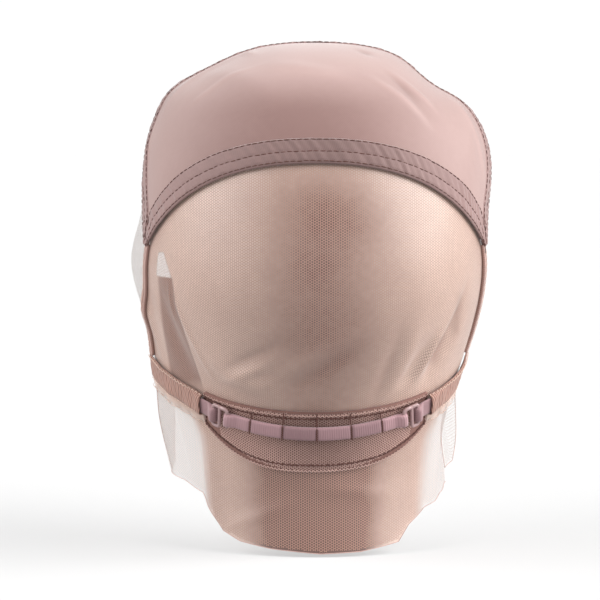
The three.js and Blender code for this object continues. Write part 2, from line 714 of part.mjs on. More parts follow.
// Elastic: flat in the casing, then up over the guard's end to its loop
function elastic(side) {
  const near = loopDistances();
  const far = Array.from({ length: ELASTIC_STATIONS + 1 }, (_, index) => (
    lerp(HOLE_INSET + LOOP_REACH, ELASTIC_LENGTH, index / ELASTIC_STATIONS)
  ));
  const places = [...near, ...far].map((distance) => {
    const angle = ELASTIC_END_ANGLE + distance / DEGREE_LENGTH;
    const thickness = loopThickness(distance, ELASTIC_THICKNESS);
    return { angle: side * angle, height: bandHeight(angle), thickness };
  });
  return cut(ribbon(places, ELASTIC_WIDTH), loopHole(side, BAR_PLACE));
}

// Strap: doubled ribbon with a loop at each end
function napeStrap() {
  const near = loopDistances().map((distance) => STRAP_END_ANGLE - distance / DEGREE_LENGTH);
  const inner = STRAP_END_ANGLE - (HOLE_INSET + LOOP_REACH) / DEGREE_LENGTH;
  const middle = Array.from({ length: STRAP_STATIONS + 1 }, (_, index) => (
    lerp(-inner, inner, index / STRAP_STATIONS)
  ));
  const angles = [...near.map((angle) => -angle), ...middle, ...near.toReversed()];
  const places = angles.map((angle) => {
    const distance = (STRAP_END_ANGLE - Math.abs(angle)) * DEGREE_LENGTH;
    return { angle, height: OVER_GUARD, thickness: loopThickness(distance, STRAP_THICKNESS) };
  });
  return [-1, 1].reduce(
    (body, side) => cut(body, loopHole(side, -ARM_PLACE)),
    ribbon(places, STRAP_WIDTH),
  );
}

// Swan hook in its own plane: x towards the strap, y up, the middle bar at x = 0
function hookGeometry(side) {
  const halfWire = WIRE_WIDTH / 2;
  const slotHalf = ELASTIC_WIDTH / 2 + CLOTH_GAP;
  const top = slotHalf + WIRE_WIDTH;
  const toe = -(STRAP_WIDTH / 2 + HOOK_TOE);
  const left = -BAR_PLACE - halfWire;
  const right = ARM_PLACE + halfWire;
  const outline = new THREE.Shape();
  outline.moveTo(left + HOOK_CORNER, -top);
  outline.lineTo(halfWire - HOOK_CORNER / 2, -top);
  outline.quadraticCurveTo(halfWire, -top, halfWire, -top + HOOK_CORNER);
  outline.lineTo(halfWire, slotHalf);
  outline.lineTo(ARM_PLACE - halfWire, slotHalf);
  outline.lineTo(ARM_PLACE - halfWire, toe);
  outline.lineTo(right, toe);
  outline.lineTo(right, top - HOOK_CORNER);
  outline.quadraticCurveTo(right, top, right - HOOK_CORNER, top);
  outline.lineTo(left + HOOK_CORNER, top);
  outline.quadraticCurveTo(left, top, left, top - HOOK_CORNER);
  outline.lineTo(left, -top + HOOK_CORNER);
  outline.quadraticCurveTo(left, -top, left + HOOK_CORNER, -top);
  const slot = new THREE.Path();
  slot.moveTo(-BAR_PLACE + halfWire, -slotHalf);
  slot.lineTo(-BAR_PLACE + halfWire, slotHalf);
  slot.lineTo(-halfWire, slotHalf);
  slot.lineTo(-halfWire, -slotHalf);
  slot.lineTo(-BAR_PLACE + halfWire, -slotHalf);
  outline.holes.push(slot);
  const geometry = new THREE.ExtrudeGeometry(outline, {
    depth: WIRE_DEPTH, bevelEnabled: false, curveSegments: 3,
  });
  geometry.translate(0, 0, -WIRE_DEPTH / 2);
  if (side > 0) geometry.rotateY(Math.PI);
  return geometry;
}

// Names and finishes
const finish = (color, roughness, metalness = 0) => (
  new THREE.MeshStandardMaterial({ color, roughness, metalness, side: THREE.FrontSide })
);
const nylon = finish(NYLON_COLOUR, 0.45);
const hemNylon = finish(HEM_COLOUR, 0.55);
const lace = finish(LACE_COLOUR, 0.8);
const doubleLace = finish(GUARD_COLOUR, 0.8);
const webbing = finish(RIBBON_COLOUR, 0.6);
const coatedWire = finish(WIRE_COLOUR, 0.35, 0.2);

const cap = new THREE.Group();

function add(name, geometry, material) {
  const mesh = new THREE.Mesh(geometry, material);
  mesh.name = name;
  cap.add(mesh);
  return mesh;
}

add('crown_panel', crownPanel(), nylon);
add('rear_hem', hem(REAR_EDGE_TILT), hemNylon);
add('front_hem', hem(FRONT_EDGE_TILT), hemNylon);
add('back_lace', backLace(), lace);
add('front_lace', frontLace(), lace);
add('nape_guard', napeGuard(), doubleLace);
add('nape_strap', napeStrap(), webbing);

for (const [name, side] of [['left', -1], ['right', 1]]) {
  add(`side_seam_${name}`, sideSeam(side), doubleLace);
  add(`casing_${name}`, casing(side), doubleLace);
  add(`elastic_${name}`, elastic(side), webbing);
  const hook = add(`hook_${name}`, hookGeometry(side), coatedWire);
  hook.applyMatrix4(hookMatrix(side));
}

export default cap;
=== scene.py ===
"""Dresses the wig cap: crown panel, hems, nets, nape guard, casings, strap, hooks and a studio.

Lengths inside the functions are millimetres, with +Z up and the back of the cap facing -Y. The
origin is the crown point of the hollow, so a drop is a distance straight down from it. A turn is
an angle in degrees round the cap, 0 at the middle of the back and growing towards +X.
"""

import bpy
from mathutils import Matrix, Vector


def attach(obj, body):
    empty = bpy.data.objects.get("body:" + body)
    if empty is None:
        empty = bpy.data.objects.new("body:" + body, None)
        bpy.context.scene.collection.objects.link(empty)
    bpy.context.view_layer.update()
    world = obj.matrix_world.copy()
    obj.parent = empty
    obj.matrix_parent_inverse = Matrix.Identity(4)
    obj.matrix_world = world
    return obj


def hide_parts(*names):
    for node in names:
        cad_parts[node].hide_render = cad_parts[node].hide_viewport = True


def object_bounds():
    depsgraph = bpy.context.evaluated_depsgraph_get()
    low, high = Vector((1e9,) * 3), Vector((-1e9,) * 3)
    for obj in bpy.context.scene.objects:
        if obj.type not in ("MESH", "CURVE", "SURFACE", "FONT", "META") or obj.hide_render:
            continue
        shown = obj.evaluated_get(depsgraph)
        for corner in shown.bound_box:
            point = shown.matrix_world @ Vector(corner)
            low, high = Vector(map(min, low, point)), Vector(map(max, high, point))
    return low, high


bl_info = {
    "name": "Wig cap",
    "version": (1, 0, 0),
    "blender": (4, 5, 0),
    "location": "3D View > Sidebar > Wig cap",
    "description": "Dresses the packed wig cap with cloth, net, stitches and hooks",
    "category": "Object",
}

import bpy
import numpy as np
from mathutils import Vector

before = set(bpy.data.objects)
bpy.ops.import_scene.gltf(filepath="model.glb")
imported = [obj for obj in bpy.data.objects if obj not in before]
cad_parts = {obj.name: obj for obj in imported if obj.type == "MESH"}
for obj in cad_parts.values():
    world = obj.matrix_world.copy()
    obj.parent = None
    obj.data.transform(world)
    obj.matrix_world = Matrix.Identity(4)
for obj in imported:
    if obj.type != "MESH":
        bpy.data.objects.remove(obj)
CAD_BOX = [[float(value) for value in corner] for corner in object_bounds()]

MM = 0.001

# Hollow that the cap is shaped on
HEAD_BREADTH = 149.2
BACK_DEPTH = 97.2
FRONT_DEPTH = 94.5
HOLLOW_HEIGHT = 220.0
SKULL_POWER = 2.25
NECK_POWER = 2.0
SKULL_LOW_DROP = 98.0
NECK_TOP_DROP = 157.0

# Crown panel and hems
TIP_TURN = 59.2
TIP_DROP = 85.5
TIP_ROUND = 2.0
TIP_REACH = 0.2
REAR_TILT = 34.7
FRONT_TILT = 117.6
HEM_WIDTH = 10.7
NET_LAP = 6.0

# Seams, guard and skirt
SEAM_TURN = 80.0
SEAM_DROP = 135.5
FLAP_TURN = 95.0
SKIRT_LENGTH = 60.5
NAPE_DROP = 151.5
GUARD_HALF_TURN = 43.0
GUARD_HEIGHT = 25.2
GUARD_END_HEIGHT = 13.6
GUARD_TOP_RISE = 7.0
GUARD_POWER = 2.5

# Band line of the strap, hooks, elastic and casings
STRAP_INSET = 8.3
STRAP_RISE = 6.7
HOOK_TURN = 34.5
HOOK_CALM = 9.0
FOLD_HEIGHT = 5.0

SEAM_WIDTH = 3.4
CASING_WALL = 1.0
CASING_ROOM = 0.3
FLANGE_WIDTH = 4.2

# Heights of the layers above the hollow
NET_HEIGHT = 0.35
STRAND_HEIGHT = 0.6
OVER_NET = 1.3
OVER_GUARD = 2.6

# Depth of hems, seams and guard, down to the net they are sewn on
SEWN_DEPTH = 1.5

# Sections of the hollow: drop as a share of HOLLOW_HEIGHT, then half the breadth, the depth at
# the back and the depth at the front as shares of theirs.
SECTIONS = np.array([
    (0.000, 0.000, 0.000, 0.000),
    (0.009, 0.308, 0.283, 0.309),
    (0.023, 0.456, 0.425, 0.467),
    (0.045, 0.587, 0.555, 0.601),
    (0.077, 0.726, 0.681, 0.713),
    (0.118, 0.851, 0.794, 0.811),
    (0.168, 0.928, 0.885, 0.881),
    (0.232, 0.968, 0.956, 0.932),
    (0.309, 0.985, 0.994, 0.971),
    (0.400, 1.000, 1.000, 1.000),
    (0.468, 0.977, 0.976, 1.000),
    (0.532, 0.939, 0.922, 0.985),
    (0.591, 0.899, 0.845, 0.964),
    (0.650, 0.862, 0.758, 0.943),
    (0.705, 0.832, 0.687, 0.921),
    (0.759, 0.800, 0.641, 0.900),
    (0.818, 0.781, 0.618, 0.879),
    (0.895, 0.767, 0.611, 0.858),
    (1.000, 0.759, 0.622, 0.836),
])

# Folds and dents: turn, drop as a share of HOLLOW_HEIGHT, reach along and across as shares of
# HEAD_BREADTH, lean from straight down towards +X in degrees, height as a share of FOLD_HEIGHT.
FOLDS = np.array([
    (-88, 0.030, 0.30, 0.070, 90, -0.10),
    (-88, 0.095, 0.36, 0.070, 90, 0.40),
    (88, 0.065, 0.36, 0.090, 90, -0.75),
    (88, 0.220, 0.36, 0.120, 90, 0.45),
    (-84, 0.425, 0.12, 0.100, 0, 0.90),
    (-88, 0.560, 0.12, 0.120, 0, 0.45),
    (-92, 0.740, 0.21, 0.180, 0, 1.25),
    (88, 0.440, 0.22, 0.160, 0, -0.55),
    (88, 0.720, 0.21, 0.150, 0, -1.20),
    (112, 0.810, 0.20, 0.090, 0, 1.50),
    (-70, 0.500, 0.13, 0.030, 8, 0.35),
    (-50, 0.560, 0.15, 0.045, 14, -0.40),
    (44, 0.570, 0.11, 0.035, -22, -0.45),
    (33, 0.605, 0.10, 0.035, -24, -0.40),
    (38, 0.590, 0.10, 0.025, -24, 0.25),
    (-24, 0.625, 0.11, 0.045, 62, 0.40),
    (-10, 0.800, 0.16, 0.040, 84, 0.25),
    (-48, 0.840, 0.13, 0.035, 4, 0.40),
    (60, 0.820, 0.13, 0.035, -6, 0.35),
    (-30, 0.075, 0.20, 0.050, 60, 0.25),
    (55, 0.150, 0.22, 0.050, -30, 0.25),
])

# Finer creases of the cloth: turn and drop of the middle, reach along and across in millimetres,
# lean as above, height in millimetres.
CREASES = np.array([
    (-21, 130.0, 19, 2.6, -63, -0.9),
    (-20, 134.5, 16, 2.4, -63, 0.7),
    (-2, 129.0, 22, 4.0, -55, 1.1),
    (3, 134.0, 18, 3.4, -52, -0.8),
    (-17, 136.5, 8, 2.0, -80, -0.5),
    (22, 133.0, 18, 3.2, -8, -1.0),
    (28, 131.0, 18, 3.4, -5, 0.8),
    (37, 129.0, 12, 1.6, -16, 1.0),
    (42, 127.0, 9, 3.0, -20, -1.2),
    (-41, 115.0, 30, 1.6, 16, 0.8),
    (-46, 107.0, 9, 1.2, -9, 0.6),
    (46, 112.0, 14, 2.6, -14, -1.0),
    (14, 186.0, 24, 3.5, 85, 0.7),
    (-22, 196.0, 22, 3.0, -70, 0.5),
    (-62, 165.0, 26, 3.0, 10, 0.9),
    (-53, 175.0, 24, 2.2, 6, -0.9),
    (52, 172.0, 26, 2.4, -10, 0.9),
    (-46, 5.0, 8, 1.6, 62, 0.7),
    (-60, 14.0, 18, 4.0, -9, 0.9),
    (-38, 20.0, 20, 1.6, -39, 0.35),
    (29, 26.0, 20, 2.2, 31, 0.8),
    (37, 21.5, 12, 1.8, 21, 0.7),
    (32, 19.5, 9, 3.0, 12, -0.8),
    (31, 5.0, 5, 3.0, 0, -0.8),
    (-5, 12.0, 16, 5.0, 70, 0.6),
    (58, 40.0, 22, 3.0, 8, 0.6),
    (-66, 48.0, 22, 2.6, 6, 0.6),
])

# Raw lower edge of the back net: turn as a share of FLAP_TURN, fall below NAPE_DROP as a share of
# SKIRT_LENGTH.
SKIRT_EDGE = np.array([
    (-1.00, 0.52), (-0.72, 0.55), (-0.56, 0.62), (-0.43, 0.87), (-0.34, 0.93), (-0.19, 0.97),
    (0.02, 1.00), (0.19, 0.99), (0.38, 0.94), (0.44, 0.83), (0.55, 0.72), (0.73, 0.65),
    (1.00, 0.62),
])

# Raw edge of the front net: share of the way from the flap to straight ahead, drop as a share of
# SEAM_DROP.
FOREHEAD_EDGE = np.array([
    (0.00, 1.36), (0.10, 1.34), (0.18, 1.22), (0.25, 1.06), (0.35, 0.88), (0.50, 0.72),
    (0.72, 0.63), (1.00, 0.60),
])

# Half width in degrees of the close-lying part of the back net, at each drop
CLOSE_EDGE = np.array([
    (40, 95), (138, 95), (146, 80), (150, 66), (156, 53), (165, 49), (190, 48), (215, 47),
])

# How closed the back net looks, by degrees past the part that lies close
COVER = np.array([
    (-3, 0.96), (3, 0.52), (8, 0.40), (25, 0.34), (32, 0.40), (45, 0.46),
])


# Form of the hollow

def smoothstep(value, low, high):
    """0 up to low, 1 from high on, and 3t^2 - 2t^3 between them."""
    t = np.clip((value - low) / (high - low), 0.0, 1.0)
    return t * t * (3 - 2 * t)


def lerp(start, end, share):
    """Straight mix of two values."""
    return start + (end - start) * share


def column_square(drop, column):
    """Square of a column's share at a drop, on a cubic through the squares of the table."""
    marks = SECTIONS[:, 0]
    squares = SECTIONS[:, column] ** 2
    last = len(marks) - 1
    order = np.arange(last + 1)
    before = np.maximum(order - 1, 0)
    after = np.minimum(order + 1, last)
    slopes = (squares[after] - squares[before]) / (marks[after] - marks[before])
    share = np.clip(drop / HOLLOW_HEIGHT, 0.0, 1.0)
    row = np.clip(np.searchsorted(marks, share, side="right") - 1, 0, last - 1)
    span = marks[row + 1] - marks[row]
    t = (share - marks[row]) / span
    value = (
        (2 * t**3 - 3 * t**2 + 1) * squares[row]
        + (t**3 - 2 * t**2 + t) * span * slopes[row]
        + (3 * t**2 - 2 * t**3) * squares[row + 1]
        + (t**3 - t**2) * span * slopes[row + 1]
    )
    return np.maximum(value, 0.0)


def section(drop, at_back):
    """Half breadth, depth and power of the superellipse section at a drop."""
    half = np.sqrt(column_square(drop, 1)) * HEAD_BREADTH / 2
    back = np.sqrt(column_square(drop, 2)) * BACK_DEPTH
    front = np.sqrt(column_square(drop, 3)) * FRONT_DEPTH
    power = lerp(SKULL_POWER, NECK_POWER, smoothstep(drop, SKULL_LOW_DROP, NECK_TOP_DROP))
    return half, np.where(at_back, back, front), power


def radius(angle, drop):
    """Radius at an angle in radians: ((|sin| / half)^n + (|cos| / depth)^n)^(-1/n)."""
    half, depth, power = section(drop, np.cos(angle) >= 0)
    side = np.abs(np.sin(angle)) / np.maximum(half, 1e-6)
    along = np.abs(np.cos(angle)) / np.maximum(depth, 1e-6)
    return (side**power + along**power) ** (-1 / power)


def hollow(turn, drop):
    """Points of the hollow at turns in degrees and drops."""
    angle, drop = np.broadcast_arrays(np.radians(turn), np.asarray(drop, float))
    reach = radius(angle, drop)
    return np.stack([reach * np.sin(angle), -reach * np.cos(angle), -drop], axis=-1)


def turn_of(points):
    """Turn in degrees at points."""
    return np.degrees(np.arctan2(points[..., 0], -points[..., 1]))


def outward(points):
    """Outward normal: the gradient of the distance from the axis less the section's radius."""
    step = 1e-3
    angle = np.arctan2(points[..., 0], -points[..., 1])
    drop = np.maximum(-points[..., 2], 2 * step)
    reach = radius(angle, drop)
    turn = (radius(angle + step, drop) - radius(angle - step, drop)) / (2 * step)
    fall = (radius(angle, drop + step) - radius(angle, drop - step)) / (2 * step)
    x = np.sin(angle) - np.cos(angle) * turn / reach
    y = -np.cos(angle) - np.sin(angle) * turn / reach
    normal = np.stack([x, y, fall], axis=-1)
    return normal / np.linalg.norm(normal, axis=-1, keepdims=True)


def settled(points):
    """Points of the hollow straight out from the axis, at the turns and drops of nearby points."""
    return hollow(turn_of(points), -points[..., 2])


# Band line

HOOK_DROP = NAPE_DROP + STRAP_INSET - STRAP_RISE
HOOK_SLOPE = 2 * STRAP_RISE / HOOK_TURN
BAND_TURN = SEAM_TURN - HOOK_TURN
BAND_BEND = (HOOK_DROP - HOOK_SLOPE * BAND_TURN - SEAM_DROP) / BAND_TURN**2


def band_drop(turn):
    """Drop of the band line: a parabola between the hooks, then its slope kept with a bend."""
    away = np.abs(turn)
    past = away - HOOK_TURN
    middle = NAPE_DROP + STRAP_INSET - STRAP_RISE * (away / HOOK_TURN) ** 2
    return np.where(past < 0, middle, HOOK_DROP - HOOK_SLOPE * past - BAND_BEND * past**2)


def band_point(turn):
    """Point of the hollow on the band line."""
    return hollow(turn, band_drop(turn))


def band_axes(turn):
    """Directions along the band line towards +X, up across it, and out."""
    out = outward(band_point(turn))
    along = band_point(turn + 0.5) - band_point(turn - 0.5)
    along = along - out * (along * out).sum(axis=-1, keepdims=True)
    along = along / np.linalg.norm(along, axis=-1, keepdims=True)
    return along, np.cross(out, along), out


def band_at(turn, up, height):
    """Points at distances up from the band line and heights above the hollow."""
    turn, up, height = np.broadcast_arrays(
        np.asarray(turn, float), np.asarray(up, float), np.asarray(height, float)
    )
    points = band_point(turn) + band_axes(turn)[1] * up[..., None]
    return raised(settled(points), height)


# Folds

def ridge_frames(turn, drop, lean):
    """Middles and lengthwise directions of ridges on the hollow."""
    centre = hollow(turn, drop)
    angle = np.radians(turn)
    across = np.stack([np.cos(angle), np.sin(angle), np.zeros_like(angle)], axis=-1)
    down = np.cross(across, outward(centre))
    down /= np.linalg.norm(down, axis=-1, keepdims=True)
    lean = np.radians(lean)[:, None]
    return centre, down * np.cos(lean) + across * np.sin(lean)


def ridge_sum(points, frames, heights, long, wide):
    """Sum of height * exp(-(along / long)^2 - (across / wide)^2) over the ridges."""
    total = np.zeros(points.shape[:-1])
    for centre, direction, height, length, breadth in zip(*frames, heights, long, wide):
        reach = points - centre
        along = reach @ direction
        across = (reach**2).sum(axis=-1) - along**2
        total += height * np.exp(-((along / length) ** 2) - across / breadth**2)
    return total


FOLD_FRAMES = ridge_frames(FOLDS[:, 0], FOLDS[:, 1] * HOLLOW_HEIGHT, FOLDS[:, 4])
CREASE_FRAMES = ridge_frames(CREASES[:, 0], CREASES[:, 1], CREASES[:, 4])
HOOK_SEATS = band_point(np.array([-HOOK_TURN, HOOK_TURN]))


def fold_height(points):
    """Height of the folds and creases, which die out at the hooks."""
    total = ridge_sum(
        points, FOLD_FRAMES, FOLDS[:, 5] * FOLD_HEIGHT, FOLDS[:, 2] * HEAD_BREADTH,
        FOLDS[:, 3] * HEAD_BREADTH,
    )
    total += ridge_sum(points, CREASE_FRAMES, CREASES[:, 5], CREASES[:, 2], CREASES[:, 3])
    away = np.min([np.linalg.norm(points - seat, axis=-1) for seat in HOOK_SEATS], axis=0)
    return total * smoothstep(away, HOOK_CALM, 2 * HOOK_CALM)


def crease_shade(points):
    """Painted shade and light of the finer creases: darker where they sink, lighter where they rise.
    """
    return -0.16 * ridge_sum(
        points, CREASE_FRAMES, CREASES[:, 5], CREASES[:, 2], CREASES[:, 3]
    )


def raised(points, height):
    """Points lifted along the outward normal by a height and the folds."""
    lift = np.asarray(height) + fold_height(points)
    return points + outward(points) * lift[..., None]


# Crown rays: the panel's planes pass through the line from ear tip to ear tip

TIP_POINT = hollow(TIP_TURN, TIP_DROP)
CENTRE = np.array([0.0, TIP_POINT[1], TIP_POINT[2]])
MIDDLE_TILT = (REAR_TILT + FRONT_TILT) / 2


def ray_points(directions):
    """Points of the hollow that rays from the panel's centre meet, found by halving."""
    near = np.zeros(directions.shape[:-1])
    far = np.full(directions.shape[:-1], HEAD_BREADTH + HOLLOW_HEIGHT)
    for _ in range(44):
        middle = (near + far) / 2
        points = CENTRE + directions * middle[..., None]
        drop = -points[..., 2]
        half, depth, power = section(np.maximum(drop, 1e-6), points[..., 1] <= 0)
        side = np.abs(points[..., 0]) / np.maximum(half, 1e-6)
        along = np.abs(points[..., 1]) / np.maximum(depth, 1e-6)
        inside = (drop > 0) & (side**power + along**power < 1)
        near = np.where(inside, middle, near)
        far = np.where(inside, far, middle)
    return CENTRE + directions * near[..., None]


def crown_points(sweep, tilt):
    """Points at sweeps from the middle to an ear tip and tilts from straight back over."""
    sweep, tilt = np.broadcast_arrays(np.radians(sweep), np.radians(tilt))
    return ray_points(np.stack([
        np.sin(sweep), -np.cos(sweep) * np.cos(tilt), np.cos(sweep) * np.sin(tilt)
    ], axis=-1))


def tip_line_distance(points):
    """Distance from the line through both ear tips."""
    return np.hypot(points[..., 1] - CENTRE[1], points[..., 2] - CENTRE[2])


def sweep_near(distance):
    """Sweep at which the surface comes within a distance of the line of the tips."""
    low, high = 0.0, 90.0
    for _ in range(44):
        middle = (low + high) / 2
        if tip_line_distance(crown_points(middle, MIDDLE_TILT)) > distance:
            low = middle
        else:
            high = middle
    return low


def tilt_beyond(sweep, edge, width):
    """Tilt a width away from an edge, or nearly the middle's where that comes first."""
    reach = tip_line_distance(crown_points(sweep, edge))
    limit = abs(MIDDLE_TILT - edge) - 1.0
    turn = np.minimum(np.degrees(width / reach), limit)
    return edge + np.sign(MIDDLE_TILT - edge) * turn


def above_plane(points, tilt):
    """Distance over the plane through the tip line that rises at a tilt towards the back."""
    back = CENTRE[1] - points[..., 1]
    rise = points[..., 2] - CENTRE[2]
    return rise * np.cos(np.radians(tilt)) - back * np.sin(np.radians(tilt))


# Lines and tables

def path_lengths(points):
    """Running length along the last axis of points but one."""
    steps = np.linalg.norm(np.diff(points, axis=-2), axis=-1)
    start = np.zeros(steps.shape[:-1] + (1,))
    return np.concatenate([start, np.cumsum(steps, axis=-1)], axis=-1)


def along_path(points, lengths, at):
    """Points at running lengths on one line."""
    return np.stack([np.interp(at, lengths, points[:, axis]) for axis in range(3)], axis=-1)


def sample(table, row, column):
    """Values of a table at fractional rows and columns, mixed from the four nearest."""
    row = np.clip(row, 0, table.shape[0] - 1.000001)
    column = np.clip(column, 0, table.shape[1] - 1.000001)
    r, c = row.astype(int), column.astype(int)
    fr, fc = row - r, column - c
    if table.ndim > 2:
        fr, fc = fr[..., None], fc[..., None]
    top = lerp(table[r, c], table[r, c + 1], fc)
    return lerp(top, lerp(table[r + 1, c], table[r + 1, c + 1], fc), fr)


EAR_LINE = np.array([
    (TIP_TURN, TIP_DROP),
    (SEAM_TURN, SEAM_DROP),
    (FLAP_TURN, NAPE_DROP + SKIRT_LENGTH * SKIRT_EDGE[0, 1]),
])


def place_along(places, share):
    """Turn and drop at shares of the length of a line of places."""
    lengths = path_lengths(hollow(places[:, 0], places[:, 1]))
    at = share * lengths[-1]
    turn = np.interp(at, lengths, places[:, 0])
    return turn, np.interp(at, lengths, places[:, 1])


def ear_bow(share):
    """How far the line of the ear stands off a straight one, in turn and drop."""
    turn, drop = place_along(EAR_LINE, share)
    return (
        turn - lerp(EAR_LINE[0, 0], EAR_LINE[-1, 0], share),
        drop - lerp(EAR_LINE[0, 1], EAR_LINE[-1, 1], share),
    )


def lap_points(across, edge):
    """Edge of a net under a hem, a lap in from the hem's own edge, as far as the tips."""
    end = sweep_near(TIP_REACH)
    sweep = lerp(-end, end, across)
    reach = tip_line_distance(crown_points(sweep, edge))
    limit = abs(MIDDLE_TILT - edge) - 6.0
    turn = np.minimum(np.degrees(NET_LAP / reach), limit)
    return crown_points(sweep, edge + np.sign(MIDDLE_TILT - edge) * turn)


def back_net_points(rows, columns):
    """Grid of the back net: straight lines from hem to raw edge, bowed along each ear."""
    across = np.linspace(0, 1, columns + 1)
    down = np.linspace(0, 1, rows + 1)[:, None]
    top = lap_points(across, REAR_TILT)
    edge = np.stack([SKIRT_EDGE[:, 0] * FLAP_TURN, NAPE_DROP + SKIRT_EDGE[:, 1] * SKIRT_LENGTH], 1)
    foot_turn, foot_drop = place_along(edge, across)
    bow_turn, bow_drop = ear_bow(down)
    turn = lerp(turn_of(top), foot_turn, down) + bow_turn * (2 * across - 1)
    drop = lerp(-top[:, 2], foot_drop, down) + bow_drop * np.abs(2 * across - 1)
    return hollow(turn, drop)


def front_net_points(rows, columns):
    """Grid of the front net: the same on the other side of the ear line, set out by rays."""
    across = np.linspace(0, 1, columns + 1)
    down = np.linspace(0, 1, rows + 1)[:, None]
    seam_turn = np.degrees(2 * 0.3 / (HEAD_BREADTH / 2))
    lobe = FLAP_TURN + seam_turn
    turn = lerp(lobe, 180, FOREHEAD_EDGE[:, 0])
    drop = FOREHEAD_EDGE[:, 1] * SEAM_DROP
    edge = np.stack([np.append(turn, 360 - turn[-2::-1]), np.append(drop, drop[-2::-1])], 1)
    foot = hollow(*place_along(edge, across))
    top = lap_points(1 - across, FRONT_TILT)
    points = lerp(top[None], foot[None], down[..., None])
    side = np.where(across < 0.5, 1.0, -1.0)
    start = hollow(side * TIP_TURN, TIP_DROP)
    end = hollow(side * lobe, edge[0, 1])
    ear_turn, ear_drop = place_along(EAR_LINE, down)
    bent = hollow(side * (ear_turn + seam_turn), ear_drop)
    bow = bent - lerp(start[None], end[None], down[..., None])
    points = points + bow * np.abs(1 - 2 * across)[None, :, None] ** 2
    rays = points - CENTRE
    return ray_points(rays / np.linalg.norm(rays, axis=-1, keepdims=True))


# Meshes

def make_piece(name, points, faces, material, uv=None, values=None):
    """Object at the origin from points in millimetres and arrays of faces' corner numbers."""
    points = np.ascontiguousarray(points, dtype=np.float64).reshape(-1, 3)
    corners = np.concatenate([part.reshape(-1) for part in faces]).astype(np.int32)
    totals = np.concatenate([np.full(len(part), part.shape[1]) for part in faces])
    mesh = bpy.data.meshes.new(name)
    mesh.vertices.add(len(points))
    mesh.vertices.foreach_set("co", (points * MM).ravel())
    mesh.loops.add(len(corners))
    mesh.loops.foreach_set("vertex_index", corners)
    mesh.polygons.add(len(totals))
    starts = np.concatenate([[0], np.cumsum(totals)[:-1]]).astype(np.int32)
    mesh.polygons.foreach_set("loop_start", starts)
    mesh.polygons.foreach_set("use_smooth", np.ones(len(totals), dtype=bool))
    if uv is not None:
        layer = mesh.uv_layers.new(name="cloth")
        layer.data.foreach_set("uv", np.asarray(uv, float).reshape(-1, 2)[corners].ravel())
    for label, value in (values or {}).items():
        attribute = mesh.attributes.new(label, "FLOAT", "POINT")
        attribute.data.foreach_set("value", np.asarray(value, float).ravel())
    mesh.update(calc_edges=True)
    mesh.validate()
    mesh.materials.append(material)
    piece = bpy.data.objects.new(name, mesh)
    bpy.context.scene.collection.objects.link(piece)
    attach(piece, "root")
    return piece


def grid_faces(rows, columns, upward=False, start=0):
    """Quads of a grid of points that run along its columns first, and down it or upward."""
    wide = columns + 1
    first = (np.arange(rows)[:, None] * wide + np.arange(columns)).ravel() + start
    quads = np.stack([first, first + wide, first + wide + 1, first + 1], axis=1)
    return quads[:, ::-1] if upward else quads


def ring_faces(rings, corners, count=1):
    """Quads between rings of corners, closed round, and a fan's worth of caps as polygons."""
    step = np.arange(corners)
    ahead = (step + 1) % corners
    body = np.arange(count)[:, None, None] * rings * corners
    low = body + np.arange(rings - 1)[None, :, None] * corners
    quads = np.stack([low + step, low + ahead, low + ahead + corners, low + step + corners], -1)
    first = body[:, 0] + step[::-1]
    last = body[:, 0] + (rings - 1) * corners + step
    return [quads.reshape(-1, 4), first.reshape(-1, corners), last.reshape(-1, corners)]


def thicken(piece, thickness):
    """Gives a cloth its wall in millimetres, inwards from its outer face."""
    wall = piece.modifiers.new("Thickness", "SOLIDIFY")
    wall.thickness = thickness * MM
    wall.offset = -1


def unit(vectors):
    """Vectors of length 1."""
    return vectors / np.linalg.norm(vectors, axis=-1, keepdims=True)


def tube(path, outs, wide, thick, corners=10, power=2.0):
    """Closed tube along a line: rings of a superellipse wide across the line and thick out."""
    along = unit(np.gradient(path, axis=0))
    outs = unit(outs - along * (outs * along).sum(axis=-1, keepdims=True))
    side = np.cross(along, outs)
    angle = np.linspace(0, 2 * np.pi, corners, endpoint=False)
    x = np.sign(np.cos(angle)) * np.abs(np.cos(angle)) ** (2 / power)
    y = np.sign(np.sin(angle)) * np.abs(np.sin(angle)) ** (2 / power)
    wide, thick = np.broadcast_arrays(np.asarray(wide, float), np.asarray(thick, float))
    wide = np.broadcast_to(wide, (len(path),))[:, None, None]
    thick = np.broadcast_to(thick, (len(path),))[:, None, None]
    rings = (
        path[:, None]
        + side[:, None] * x[None, :, None] * wide / 2
        + outs[:, None] * y[None, :, None] * thick / 2
    )
    return rings.reshape(-1, 3), ring_faces(len(path), corners)


def joined(parts):
    """One array of points and its faces from several pairs of them."""
    points, faces, start = [], [], 0
    for part_points, part_faces in parts:
        points.append(part_points.reshape(-1, 3))
        faces.extend(face + start for face in part_faces)
        start += len(points[-1])
    return np.concatenate(points), faces


def stitches(starts, ends, outs, width, rise):
    """Capsules of thread from starts to ends, each arched by a rise over the cloth."""
    stations = np.array([-1.0, -0.86, -0.3, 0.3, 0.86, 1.0])
    swell = np.array([0.35, 0.8, 1.0, 1.0, 0.8, 0.35])
    arch = 1 - stations**2
    middle, half = (starts + ends) / 2, (ends - starts) / 2
    along = unit(half)
    side = np.cross(along, outs)
    angle = np.linspace(0, 2 * np.pi, 6, endpoint=False)
    centre = middle[:, None] + half[:, None] * stations[:, None] \
        + outs[:, None] * (arch * rise)[:, None]
    ring = (
        side[:, None] * np.cos(angle)[:, None] + outs[:, None] * np.sin(angle)[:, None]
    ) * width / 2
    points = centre[:, :, None] + ring[:, None] * swell[None, :, None, None]
    return points.reshape(-1, 3), ring_faces(len(stations), 6, len(starts))


